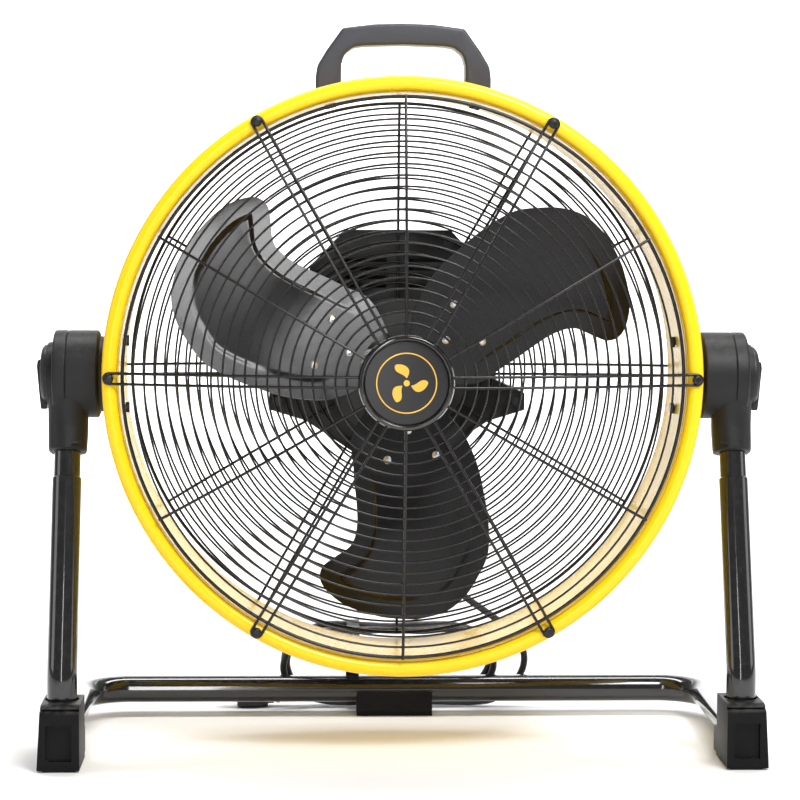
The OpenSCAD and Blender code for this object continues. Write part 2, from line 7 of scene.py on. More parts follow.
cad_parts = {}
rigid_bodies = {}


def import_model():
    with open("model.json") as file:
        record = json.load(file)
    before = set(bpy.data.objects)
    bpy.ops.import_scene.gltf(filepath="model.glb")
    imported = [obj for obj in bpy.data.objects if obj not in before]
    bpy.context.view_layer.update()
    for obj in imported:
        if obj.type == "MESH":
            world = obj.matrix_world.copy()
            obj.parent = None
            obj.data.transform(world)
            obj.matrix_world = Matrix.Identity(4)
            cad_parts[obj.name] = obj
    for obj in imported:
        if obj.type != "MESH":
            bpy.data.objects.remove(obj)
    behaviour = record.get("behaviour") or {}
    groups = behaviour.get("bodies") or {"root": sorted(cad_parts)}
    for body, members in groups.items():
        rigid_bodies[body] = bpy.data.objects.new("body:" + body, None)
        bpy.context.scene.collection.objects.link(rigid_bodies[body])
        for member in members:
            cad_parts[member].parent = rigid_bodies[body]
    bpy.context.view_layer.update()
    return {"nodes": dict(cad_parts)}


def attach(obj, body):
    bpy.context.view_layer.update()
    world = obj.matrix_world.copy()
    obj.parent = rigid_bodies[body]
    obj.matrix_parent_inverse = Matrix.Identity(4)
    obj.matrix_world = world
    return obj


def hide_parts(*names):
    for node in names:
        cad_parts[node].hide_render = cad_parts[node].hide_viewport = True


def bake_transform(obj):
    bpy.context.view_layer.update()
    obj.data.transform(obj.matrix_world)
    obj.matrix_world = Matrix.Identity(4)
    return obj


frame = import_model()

# ---- Camera ----
# A long lens a little above the fan's middle, seen almost square from the front.
camera_data = bpy.data.cameras.new("camera")
camera_data.sensor_width = 36.0
camera_data.lens = 109.2
camera_data.clip_end = 60.0
camera = bpy.data.objects.new("camera", camera_data)
camera.location = (-0.103, -2.490, 0.542)
camera.rotation_euler = (math.radians(85.68), math.radians(-0.3), math.radians(-2.335))
bpy.context.scene.collection.objects.link(camera)
bpy.context.scene.camera = camera

# ---- Mains cord ----
# Black PVC cord, 7.6 mm thick. It leaves the housing by a ribbed sleeve, drops behind the drum
# to the floor, and ends in a hank of three turns that leans on the cross tube, and a plug.
cord_r = 0.0038
drop_route = [
    (0.020, 0.110, 0.247), (0.020, 0.110, 0.232), (0.021, 0.111, 0.215), (0.025, 0.114, 0.196),
    (0.033, 0.118, 0.177), (0.046, 0.124, 0.158), (0.063, 0.131, 0.140), (0.082, 0.139, 0.124),
    (0.102, 0.147, 0.109), (0.121, 0.155, 0.094), (0.136, 0.162, 0.078), (0.145, 0.167, 0.061),
    (0.145, 0.170, 0.044), (0.137, 0.171, 0.028), (0.124, 0.170, 0.015), (0.109, 0.168, 0.0075),
    (0.092, 0.167, 0.0055), (0.074, 0.166, 0.0055)
]
hank_x, hank_y, hank_lean = -0.005, 0.1615, math.radians(20)
hank_length, hank_width, hank_thickness = 0.240, 0.096, 0.024
hank_clearance = 0.0018
plug_x, plug_y = -0.170, 0.1735


def from_hank(along, up, deep):
    """A place on the hank: along its length, up its leaning face, and deep behind that face."""
    up, deep = up + hank_clearance, deep + hank_clearance
    return Vector((
        hank_x + along,
        hank_y - up * math.sin(hank_lean) + deep * math.cos(hank_lean),
        up * math.cos(hank_lean) + deep * math.sin(hank_lean)
    ))


def smooth_path(points, step):
    """Points every step along a Catmull-Rom curve through the given points."""
    points = [Vector(p) for p in points]
    ends = [2 * points[0] - points[1]] + points + [2 * points[-1] - points[-2]]
    path = []
    for a, b, c, d in zip(ends, ends[1:], ends[2:], ends[3:]):
        count = max(1, round((c - b).length / step))
        for i in range(count):
            t = i / count
            path.append(0.5 * (2 * b + (c - a) * t + (2 * a - 5 * b + 4 * c - d) * t ** 2
                               + (3 * b - a - 3 * c + d) * t ** 3))
    return path + [points[-1]]


def in_scene(name, data):
    """An object of the scene that holds the given data."""
    made = bpy.data.objects.new(name, data)
    bpy.context.scene.collection.objects.link(made)
    return made


def new_piece(name, points, faces, material):
    """A mesh object with shared smooth shading and sharp edges kept crisp."""
    mesh = bpy.data.meshes.new(name)
    mesh.from_pydata([tuple(p) for p in points], [], faces)
    return finish_mesh(in_scene(name, mesh), material)


def finish_mesh(piece, material=None):
    """Joins doubles, turns the faces outwards and shades the piece smooth up to an angle."""
    smooth_up_to = math.radians(34)
    mesh = piece.data
    work = bmesh.new()
    work.from_mesh(mesh)
    bmesh.ops.remove_doubles(work, verts=work.verts, dist=1e-6)
    bmesh.ops.recalc_face_normals(work, faces=work.faces)
    work.to_mesh(mesh)
    work.free()
    mesh.shade_smooth()
    mesh.set_sharp_from_angle(angle=smooth_up_to)
    if material:
        mesh.materials.clear()
        mesh.materials.append(material)
    return piece


def sweep(name, path, radius, sides, material):
    """A round bar along a path; radius is one number or one for each point."""
    path = [Vector(p) for p in path]
    count = len(path)
    radii = radius if isinstance(radius, (list, tuple)) else [radius] * count
    points, faces = [], []
    across = None
    for i, place in enumerate(path):
        before = path[max(i - 1, 0)]
        after = path[min(i + 1, count - 1)]
        way = (after - before).normalized()
        if across is None:
            across = way.orthogonal().normalized()
        across = (across - way * across.dot(way)).normalized()
        over = way.cross(across)
        for k in range(sides):
            turn = 2 * math.pi * k / sides
            points.append(place + radii[i] * (math.cos(turn) * across + math.sin(turn) * over))
    for i in range(count - 1):
        for k in range(sides):
            a, b = i * sides, (i + 1) * sides
            faces.append((a + k, a + (k + 1) % sides, b + (k + 1) % sides, b + k))
    faces.append(tuple(range(sides)))
    faces.append(tuple((count - 1) * sides + k for k in range(sides)))
    return new_piece(name, points, faces, material)


def shader_group(name, inputs, outputs):
    """An empty shader node group; inputs and outputs are (name, socket type, value)."""
    group = bpy.data.node_groups.new(name, "ShaderNodeTree")
    for label, kind, value in inputs:
        socket = group.interface.new_socket(label, in_out="INPUT", socket_type=kind)
        socket.default_value = value
    for label, kind in outputs:
        group.interface.new_socket(label, in_out="OUTPUT", socket_type=kind)
    return group


def add(tree, kind, **settings):
    """A new node in a tree, with its properties set."""
    made = tree.nodes.new(kind)
    for label, value in settings.items():
        setattr(made, label, value)
    return made


def wire_up(tree, *routes):
    """Links nodes in a tree; a route is (node, its output, next node, its input)."""
    for giver, output, taker, entry in routes:
        tree.links.new(giver.outputs[output], taker.inputs[entry])


# Moulded or rolled grain: a fine height, and a slow mottle for colour and gloss
grain = shader_group(
    "surface grain",
    [("Grain scale", "NodeSocketFloat", 900.0), ("Mottle scale", "NodeSocketFloat", 14.0),
     ("Cells", "NodeSocketFloat", 0.5)],
    [("Height", "NodeSocketFloat"), ("Mottle", "NodeSocketFloat")])
inlet = add(grain, "NodeGroupInput")
place = add(grain, "ShaderNodeTexCoord")
fine = add(grain, "ShaderNodeTexNoise")
fine.inputs["Detail"].default_value = 3.0
cells = add(grain, "ShaderNodeTexVoronoi", feature="SMOOTH_F1")
slow = add(grain, "ShaderNodeTexNoise")
slow.inputs["Detail"].default_value = 5.0
slow.inputs["Roughness"].default_value = 0.62
blend = add(grain, "ShaderNodeMix")
outlet = add(grain, "NodeGroupOutput")
wire_up(grain,
        (place, "Object", fine, "Vector"), (place, "Object", cells, "Vector"),
        (place, "Object", slow, "Vector"), (inlet, "Grain scale", fine, "Scale"),
        (inlet, "Grain scale", cells, "Scale"), (inlet, "Mottle scale", slow, "Scale"),
        (inlet, "Cells", blend, "Factor"), (fine, "Fac", blend, "A"),
        (cells, "Distance", blend, "B"), (blend, "Result", outlet, "Height"),
        (slow, "Fac", outlet, "Mottle"))

# Settled dust: thicker on what faces up, broken up by specks
dust = shader_group("settled dust", [("Amount", "NodeSocketFloat", 0.2)],
                    [("Dust", "NodeSocketFloat")])
inlet = add(dust, "NodeGroupInput")
place = add(dust, "ShaderNodeTexCoord")
facing = add(dust, "ShaderNodeNewGeometry")
up_part = add(dust, "ShaderNodeSeparateXYZ")
lift = add(dust, "ShaderNodeMapRange")
lift.inputs["From Min"].default_value = 0.1
specks = add(dust, "ShaderNodeTexNoise")
specks.inputs["Scale"].default_value = 160.0
specks.inputs["Detail"].default_value = 6.0
speck_range = add(dust, "ShaderNodeMapRange")
speck_range.inputs["From Min"].default_value = 0.45
speck_range.inputs["From Max"].default_value = 0.75
both = add(dust, "ShaderNodeMath", operation="MULTIPLY")
scaled = add(dust, "ShaderNodeMath", operation="MULTIPLY", use_clamp=True)
outlet = add(dust, "NodeGroupOutput")
wire_up(dust,
        (place, "Object", specks, "Vector"), (facing, "Normal", up_part, "Vector"),
        (up_part, "Z", lift, "Value"), (specks, "Fac", speck_range, "Value"),
        (lift, "Result", both, 0), (speck_range, "Result", both, 1),
        (both, "Value", scaled, 0), (inlet, "Amount", scaled, 1),
        (scaled, "Value", outlet, "Dust"))
dust_colour = (0.46, 0.44, 0.40, 1.0)


def finish_material(name, dark, light, gloss, grain_scale, depth, cells=0.4, mottle=14.0,
                    dusty=0.10, metal=0.0, coat=0.0, coat_rough=0.08, level=0.5):
    """A finish whose colour and gloss wander between two values over a grained surface."""
    material = bpy.data.materials.new(name)
    material.use_nodes = True
    tree = material.node_tree
    shader = tree.nodes["Principled BSDF"]
    shader.inputs["Metallic"].default_value = metal
    shader.inputs["Coat Weight"].default_value = coat
    shader.inputs["Coat Roughness"].default_value = coat_rough
    shader.inputs["Specular IOR Level"].default_value = level
    surface = add(tree, "ShaderNodeGroup", node_tree=grain)
    surface.inputs["Grain scale"].default_value = grain_scale
    surface.inputs["Mottle scale"].default_value = mottle
    surface.inputs["Cells"].default_value = cells
    film = add(tree, "ShaderNodeGroup", node_tree=dust)
    film.inputs["Amount"].default_value = dusty
    colours = add(tree, "ShaderNodeMix", data_type="RGBA")
    colours.inputs["A"].default_value = (*dark, 1.0)
    colours.inputs["B"].default_value = (*light, 1.0)
    dusted = add(tree, "ShaderNodeMix", data_type="RGBA")
    dusted.inputs["B"].default_value = dust_colour
    sheen = add(tree, "ShaderNodeMapRange")
    sheen.inputs["To Min"].default_value = gloss[0]
    sheen.inputs["To Max"].default_value = gloss[1]
    relief = add(tree, "ShaderNodeBump")
    relief.inputs["Strength"].default_value = 1.0
    relief.inputs["Distance"].default_value = depth
    wire_up(tree,
            (surface, "Mottle", colours, "Factor"), (colours, "Result", dusted, "A"),
            (film, "Dust", dusted, "Factor"), (dusted, "Result", shader, "Base Color"),
            (surface, "Mottle", sheen, "Value"), (sheen, "Result", shader, "Roughness"),
            (surface, "Height", relief, "Height"), (relief, "Normal", shader, "Normal"))
    return material


cord_jacket = finish_material("cord jacket", (0.012, 0.012, 0.013), (0.026, 0.026, 0.028),
                              (0.34, 0.52), 1500.0, 0.00006, dusty=0.25)

turns = 3
turn_r = hank_width / 2 - cord_r - 0.0003
straight = hank_length / 2 - hank_width / 2
lap_points = [
    (0.55, -1, 0), (0.0, -1, 0), (-0.55, -1, 0), (-1, -1, 0), (-1, -0.707, -0.707),
    (-1, 0, -1), (-1, 0.707, -0.707), (-1, 1, 0), (-0.5, 1, 0), (0.0, 1, 0), (0.5, 1, 0),
    (1, 1, 0), (1, 0.707, 0.707), (1, 0, 1), (1, -0.707, 0.707), (1, -1, 0)
]
lap_deep = [0.0040, 0.0120, 0.0200]
lap_tuck = [0.0, 0.0035, 0.0010]
hank_route = []
for turn in range(turns):
    inner = turn_r - lap_tuck[turn]
    for i, (x_share, up_share, bulge) in enumerate(lap_points):
        eased = min(1.0, i / 14)
        deep = lap_deep[turn] + (lap_deep[min(turn + 1, 2)] - lap_deep[turn]) * eased ** 2
        wander = 0.0022 * math.sin(2.3 * i + 1.7 * turn)
        if turn or i:
            hank_route.append(from_hank(x_share * straight + bulge * inner,
                                        hank_width / 2 + up_share * inner + min(0.0, wander),
                                        deep))
plug_route = [
    from_hank(0.020, 0.0045, 0.0205), from_hank(-0.030, 0.0045, 0.0200),
    Vector((-0.066, 0.1745, 0.0105)), Vector((-0.088, plug_y, 0.0110)),
    Vector((-0.104, plug_y, 0.0110)), Vector((-0.140, plug_y, 0.0110))
]
cord_path = smooth_path(drop_route + hank_route + plug_route, 0.0015)
cord_sides = 14
cord = sweep("mains_cord", cord_path, cord_r, cord_sides, material=cord_jacket)

# Wire tie: a flat black band round the hank, its twist pressed down at the front
tie_vinyl = finish_material("tie vinyl", (0.02, 0.02, 0.022), (0.04, 0.04, 0.042),
                            (0.3, 0.42), 1200.0, 0.00005)
tie_x0, tie_x1, tie_grow, tie_gap, tie_square = -0.047, -0.033, 0.0014 * 0.9, 0.0006, 0.35
tie_sides = 32
half_up, half_deep = hank_width / 2, hank_thickness / 2
tie_line = []
for k in range(tie_sides):
    angle = 2 * math.pi * k / tie_sides
    c, s = math.cos(angle), math.sin(angle)
    tie_line.append((
        half_up + (half_up + tie_gap) * math.copysign(abs(c) ** tie_square, c),
        half_deep + (half_deep + tie_gap) * math.copysign(abs(s) ** tie_square, s)))
points, faces = [], []
for x in (tie_x0, tie_x1):
    for grow in (0.0, tie_grow):
        for up, deep in tie_line:
            points.append(from_hank(x, up + (grow if up > half_up else -grow),
                                    deep + (grow if deep > half_deep else -grow)))
for k in range(tie_sides):
    j = (k + 1) % tie_sides
    inner_0, outer_0, inner_1, outer_1 = [(ring * tie_sides + k, ring * tie_sides + j)
                                          for ring in range(4)]
    faces += [(*inner_0, *outer_0[::-1]), (inner_1[0], *outer_1, inner_1[1]),
              (inner_0[0], *inner_1, inner_0[1]), (*outer_0, *outer_1[::-1])]
cord_tie = new_piece("hank_tie", points, faces, tie_vinyl)
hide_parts("cord_tie")
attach(cord_tie, "stand")


def lathe(name, profile, to_place, steps, material, closed=False):
    """Turns a profile of (radius, height) about an axis; to_place puts (x, y, height) in place."""
    points, faces, rows = [], [], []
    for radius, height in profile:
        if radius < 1e-7:
            rows.append([len(points)] * steps)
            points.append(to_place(0.0, 0.0, height))
            continue
        rows.append([len(points) + k for k in range(steps)])
        for k in range(steps):
            turn = 2 * math.pi * k / steps
            points.append(to_place(radius * math.cos(turn), radius * math.sin(turn), height))
    if closed:
        rows.append(rows[0])
    for low, high in zip(rows, rows[1:]):
        for k in range(steps):
            j = (k + 1) % steps
            corners = [low[k], low[j], high[j], high[k]]
            face = [c for i, c in enumerate(corners) if c not in corners[:i]]
            if len(face) > 2:
                faces.append(tuple(face))
    return new_piece(name, points, faces, material)


def rounded(corners, radius, steps=5, closed=True):
    """A polygon whose corners are rounded; radius is one number or one for each corner."""
    count = len(corners)
    radii = radius if isinstance(radius, (list, tuple)) else [radius] * count
    outline = []
    for i, corner in enumerate(corners):
        corner = Vector(corner)
        if (not closed and i in (0, count - 1)) or radii[i] <= 0:
            outline.append(tuple(corner))
            continue
        back = Vector(corners[i - 1]) - corner
        ahead = Vector(corners[(i + 1) % count]) - corner
        half = back.angle(ahead) / 2
        reach = min(radii[i] / math.tan(half), 0.49 * back.length, 0.49 * ahead.length)
        start = corner + back.normalized() * reach
        end = corner + ahead.normalized() * reach
        for k in range(steps + 1):
            t = k / steps
            place = (1 - t) ** 2 * start + 2 * t * (1 - t) * corner + t ** 2 * end
            outline.append(tuple(place))
    return outline


def slab(name, outline, low, high, to_place, edge, segments, material):
    """A flat outline given a thickness, with its rims rounded off."""
    count = len(outline)
    points = [to_place(x, y, low) for x, y in outline] + [to_place(x, y, high) for x, y in outline]
    faces = [tuple(range(count)), tuple(range(count, 2 * count))]
    for k in range(count):
        j = (k + 1) % count
        faces.append((k, j, count + j, count + k))
    return soften(new_piece(name, points, faces, material), edge, segments)


def bake(piece):
    """Turns a piece and its modifiers into a plain mesh."""
    ready = piece.evaluated_get(bpy.context.evaluated_depsgraph_get())
    mesh = bpy.data.meshes.new_from_object(ready)
    piece.modifiers.clear()
    old = piece.data
    piece.data = mesh
    bpy.data.meshes.remove(old)
    return piece


def soften(piece, width, segments, angle=32):
    """Rounds every edge sharper than the angle, as a moulding or a deburred part has them."""
    modifier = piece.modifiers.new("edges", "BEVEL")
    modifier.width = width
    modifier.segments = segments
    modifier.limit_method = "ANGLE"
    modifier.angle_limit = math.radians(angle)
    bake(piece)
    piece.data.shade_smooth()
    piece.data.set_sharp_from_angle(angle=math.radians(40))
    return piece


# Plug with a ribbed relief and three pins, and the sleeve where the cord leaves the housing
plug_body = [(-0.013, -0.002), (0.013, -0.002), (0.013, 0.020), (0.008, 0.032),
             (-0.008, 0.032), (-0.013, 0.020)]
plug_pvc = finish_material("plug vinyl", (0.012, 0.012, 0.013), (0.022, 0.022, 0.024),
                           (0.38, 0.5), 1300.0, 0.00008, dusty=0.2)
plug = slab("plug_body", rounded(plug_body, 0.004), 0.0005, 0.0215,
            lambda x, y, z: (plug_x + y, plug_y + x, z), 0.0028, 4, plug_pvc)
relief_profile = [(0.0, 0.030), (0.0078, 0.030), (0.0078, 0.034)]
for rib in range(5):
    start = 0.034 + 0.007 * rib
    size = 0.0076 - 0.0006 * rib
    relief_profile += [(size, start), (size, start + 0.004), (size - 0.0016, start + 0.0045),
                       (size - 0.0016, start + 0.0065)]
relief_profile += [(0.0052, 0.0695), (0.0046, 0.0715), (0.0, 0.0715)]
plug_relief = lathe("plug_relief", relief_profile,
                    lambda x, y, z: (plug_x + z, plug_y + x, 0.011 + y), 28, material=plug_pvc)
pin_brass = finish_material("pin brass", (0.62, 0.44, 0.18), (0.74, 0.56, 0.26),
                            (0.22, 0.36), 700.0, 0.00002, metal=1.0, dusty=0.0)
blade_pin = [(-0.02, 0.008), (-0.001, 0.008), (-0.001, 0.0143), (-0.02, 0.0143)]
plug_pins = []
for side in (-1, 1):
    plug_pins.append(slab(
        "plug_blade_" + ("left" if side < 0 else "right"), rounded(blade_pin, 0.0008), -0.00075,
        0.00075, lambda x, y, z, s=side: (plug_x + x, plug_y + s * 0.00635 + z, y), 0.0003, 2,
        pin_brass))
earth_profile = [(0.0, -0.022), (0.0014, -0.0217), (0.0024, -0.019), (0.0024, 0.0), (0.0, 0.0)]
plug_pins.append(lathe("plug_earth_pin", earth_profile,
                       lambda x, y, z: (plug_x + z, plug_y + x, 0.0175 + y), 24,
                       material=pin_brass))
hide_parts("power_plug")
for part in (plug, plug_relief, *plug_pins):
    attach(part, "stand")

gland_pvc = finish_material("gland vinyl", (0.011, 0.011, 0.012), (0.022, 0.022, 0.023),
                            (0.4, 0.55), 1300.0, 0.00008, dusty=0.2)
gland_profile = [(0.0, 0.247), (0.0044, 0.247)]
for rib in range(5):
    start = 0.2475 + 0.0052 * rib
    size = 0.0052 + 0.00055 * rib
    gland_profile += [(size - 0.0008, start), (size, start + 0.0008), (size, start + 0.0036),
                      (size - 0.0008, start + 0.0044)]
gland_profile += [(0.0058, 0.2735), (0.0058, 0.285), (0.0, 0.285)]
gland = lathe("cord_sleeve", gland_profile, lambda x, y, z: (0.020 + x, 0.110 + y, z), 32,
              material=gland_pvc)
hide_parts("cord_gland")
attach(gland, "head")

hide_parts("cord_lead", "cord_hank")
# The cord's points are laid out straight along Z by their distance along it while its transform is
# baked, and then they go back to their place.
reach = [0.0]
for before, after in zip(cord_path, cord_path[1:]):
    reach.append(reach[-1] + (after - before).length)
places = [point.co.copy() for point in cord.data.vertices]
for point in cord.data.vertices:
    point.co = (0.0, 0.0, reach[point.index // cord_sides])
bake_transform(cord)
for point, place in zip(cord.data.vertices, places):
    point.co = place

# ---- Legs, stubs and floor tube ----
# Round steel tube, 29 mm, bent cold and stove enamelled gloss black. Each leg takes a thinner
# stub from the pivot; the floor tube is one length bent into a U and pushed into the feet.
tube_enamel = finish_material("tube enamel", (0.004, 0.004, 0.0045), (0.008, 0.008, 0.009),
                              (0.10, 0.17), 420.0, 0.00003, cells=0.0, dusty=0.10, coat=0.6,
                              coat_rough=0.05)
leg_x, pivot_y, pivot_z = 0.3375, -0.015, 0.381
leg_r, stub_r = 0.01475, 0.0134
leg_lean = math.radians(18)
foot_y, leg_bend_r = -0.110, 0.060
slant = Vector((0.0, -math.sin(leg_lean), -math.cos(leg_lean)))
corner_reach = (pivot_y - foot_y) / math.sin(leg_lean)
corner_z = pivot_z - corner_reach * math.cos(leg_lean)
bend_cut = leg_bend_r * math.tan(leg_lean / 2)


def along_leg(side, reach):
    """The middle of a leg at a distance down from the pivot."""
    return Vector((side * leg_x, pivot_y, pivot_z)) + slant * reach


leg_socket_reach, leg_arc_steps = 0.108, 12
for side, word in ((-1, "left"), (1, "right")):
    straight_run = corner_reach - bend_cut - leg_socket_reach
    path = [along_leg(side, leg_socket_reach + straight_run * i / 6) for i in range(6)]
    for i in range(leg_arc_steps + 1):
        turn = leg_lean * (1 - i / leg_arc_steps)
        path.append(Vector((side * leg_x, foot_y + leg_bend_r * (1 - math.cos(turn)),
                            corner_z - bend_cut + leg_bend_r * math.sin(turn))))
    path += [Vector((side * leg_x, foot_y, z)) for z in (0.06, 0.0125)]
    rim = along_leg(side, leg_socket_reach + 0.0008)
    radii = [leg_r - 0.0007, leg_r] + [leg_r] * (len(path) - 1)
    leg = sweep(word + "_leg", path[:1] + [rim] + path[1:], radii, 48, material=tube_enamel)
    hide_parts(word + "_leg_tube")
    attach(leg, "stand")
    stub_path = [along_leg(side, reach) for reach in (0.056, 0.08, 0.1079, 0.112)]
    stub = sweep(word + "_stub", stub_path, stub_r, 48, material=tube_enamel)
    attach(stub, "stand")
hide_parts("leg_stubs")

base_r, base_z = 0.0145, 0.027
cross_y, corner_r, corner_steps = 0.1355, 0.050, 16
path = [Vector((-leg_x, y, base_z)) for y in (-0.093, -0.05, 0.0, 0.05)]
for i in range(corner_steps + 1):
    turn = math.pi / 2 * i / corner_steps
    path.append(Vector((-leg_x + corner_r * (1 - math.cos(turn)),
                        cross_y - corner_r * (1 - math.sin(turn)), base_z)))
path += [Vector((x, cross_y, base_z)) for x in (-0.20, -0.10, 0.0)]
path += [Vector((-p.x, p.y, p.z)) for p in reversed(path[:-1])]
floor_tube = sweep("floor_tube", path, base_r, 48, material=tube_enamel)
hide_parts("base_tube")
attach(floor_tube, "stand")

# ---- Feet ----
# Moulded polypropylene blocks, spark-textured, with a pocket in the front face and rubber pads
# screwed underneath. A saddle of the same plastic clips under the middle of the floor tube.
foot_plastic = finish_material("foot plastic", (0.0022, 0.0022, 0.0025), (0.0048, 0.0048, 0.005),
                               (0.40, 0.56), 950.0, 0.00016, cells=0.6, dusty=0.10, level=0.16)
rubber = finish_material("pad rubber", (0.010, 0.010, 0.010), (0.020, 0.020, 0.020),
                         (0.7, 0.86), 700.0, 0.00015, dusty=0.3)


def softened_copy(node, name, width, segments, material, body, angle=32, shape=None):
    """A CAD node with its flat faces joined up and its edges rounded, in the node's place.
    A shape function gives each corner its place on a moulding that has draft."""
    work = bmesh.new()
    work.from_mesh(frame["nodes"][node].data)
    bmesh.ops.remove_doubles(work, verts=work.verts, dist=2e-6)
    bmesh.ops.dissolve_limit(work, angle_limit=math.radians(0.6), verts=work.verts,
                             edges=work.edges)
    if shape:
        for corner in work.verts:
            corner.co = shape(corner.co)
    mesh = bpy.data.meshes.new(name)
    work.to_mesh(mesh)
    work.free()
    piece = in_scene(name, mesh)
    mesh.materials.append(material)
    soften(piece, width, segments, angle)
    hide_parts(node)
    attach(piece, body)
    return piece


foot_front, shoulder_z, foot_side = -0.150, 0.045, 0.0185
top_squeeze, side_low, side_draft, pocket_deep = 0.72, 0.0216, 0.055, 0.0070


def drafted(corner):
    """The foot's outer side leans in, its shoulder is low and its pocket is deep."""
    side = math.copysign(1.0, corner.x)
    out, y, z = side * corner.x - leg_x, corner.y, corner.z
    if z > shoulder_z:
        z = shoulder_z + (z - shoulder_z) * top_squeeze
    if out > foot_side:
        out = side_low - side_draft * z
    if foot_front + 0.002 < y < foot_front + 0.003:
        y = foot_front + pocket_deep
    return Vector((side * (leg_x + out), y, z))


for word in ("left", "right"):
    softened_copy(word + "_foot", word + "_foot_block", 0.0009, 3, foot_plastic, "stand",
                  shape=drafted)
softened_copy("rear_foot_pad", "floor_tube_saddle", 0.001, 3, foot_plastic, "stand")
softened_copy("rubber_feet", "foot_rubbers", 0.0005, 2, rubber, "stand")


def dress(material, *nodes):
    """Gives CAD nodes a finish; their meshes stay as they are."""
    for node in nodes:
        materials = frame["nodes"][node].data.materials
        materials.clear()
        materials.append(material)


zinc = finish_material("zinc plate", (0.50, 0.50, 0.52), (0.66, 0.66, 0.67), (0.22, 0.4),
                       600.0, 0.00003, cells=0.1, metal=1.0, dusty=0.05)
black_steel = finish_material("black screw steel", (0.014, 0.014, 0.016), (0.05, 0.05, 0.055),
                              (0.25, 0.4), 500.0, 0.00003, cells=0.1, metal=0.8, dusty=0.05)
dress(zinc, "foot_screws", "pivot_bolts", "motor_bolts")
dress(black_steel, "hub_bolts", "handle_bolts")

# ---- Tilt pivots ----
# Two moulded nylon halves on each side: a boss bolted to the drum and a cup on the leg's stub.
# Their toothed faces are clamped by a bolt with a lever knob on its outer end.
pod_nylon = finish_material("pod nylon", (0.010, 0.010, 0.0108), (0.0145, 0.0145, 0.0156),
                            (0.42, 0.54), 1150.0, 0.00012, cells=0.5, dusty=0.05, level=0.28)
lever_nylon = finish_material("lever nylon", (0.011, 0.011, 0.012), (0.016, 0.016, 0.0175),
                              (0.36, 0.48), 1150.0, 0.0001, cells=0.5, dusty=0.05, level=0.35)


def join(name, parts):
    """One mesh made of several, in the first one's material."""
    work = bmesh.new()
    materials = []
    for part in parts:
        start = len(work.faces)
        work.from_mesh(part.data)
        work.faces.ensure_lookup_table()
        material = part.data.materials[0]
        if material not in materials:
            materials.append(material)
        for face in work.faces[start:]:
            face.material_index = materials.index(material)
    mesh = bpy.data.meshes.new(name)
    work.to_mesh(mesh)
    work.free()
    for material in materials:
        mesh.materials.append(material)
    for part in parts:
        bpy.data.objects.remove(part)
    return in_scene(name, mesh)


hub_profile = rounded(
    [(0.0, 0.3385), (0.0438, 0.3385), (0.0445, 0.3376), (0.0445, 0.3075), (0.0385, 0.3055),
     (0.0380, 0.2960), (0.0, 0.2960)], [0, 0.0006, 0.001, 0.0022, 0.001, 0.001, 0], 4, False)
cup_profile = rounded(
    [(0.0, 0.3386), (0.0438, 0.3386), (0.0446, 0.3396), (0.0446, 0.3520), (0.0328, 0.3524),
     (0.0320, 0.3588), (0.0, 0.3588)], [0, 0.0004, 0.0005, 0.0032, 0.0012, 0.001, 0], 6, False)
knob_profile = rounded(
    [(0.0, 0.3584), (0.0300, 0.3584), (0.0298, 0.3618), (0.0260, 0.3650), (0.0, 0.3652)],
    [0, 0.0008, 0.003, 0.004, 0], 4, False)
bar_outline = rounded(
    [(-0.0355, 0.3600), (-0.0355, 0.3660), (-0.0200, 0.3676), (0.0080, 0.3700),
     (0.0148, 0.3690), (0.0148, 0.3600)], [0.0008, 0.002, 0.010, 0.003, 0.003, 0.0008], 4)
sleeve_rings = [(0.0190, 0.0100, 0.0150), (0.0200, 0.0150, 0.0145), (0.0225, 0.0180, 0.0135),
                (0.0270, 0.0196, 0.0115), (0.0340, 0.0200, 0.0080), (0.0420, 0.0200, 0.0045),
                (0.0520, 0.0200, 0.0012), (0.0600, 0.0199, 0.0), (0.0775, 0.0194, 0.0),
                (0.0805, 0.0188, 0.0), (0.0816, 0.0172, 0.0)]
ring_sides = 64
latch_outline = rounded([(-0.006, 0.0), (0.006, 0.0), (0.006, 0.0022), (-0.006, 0.0022)], 0.0008)
latch_reach, latch_in, latch_front, latch_slant = 0.0705, 0.0105, 0.0163, 0.35
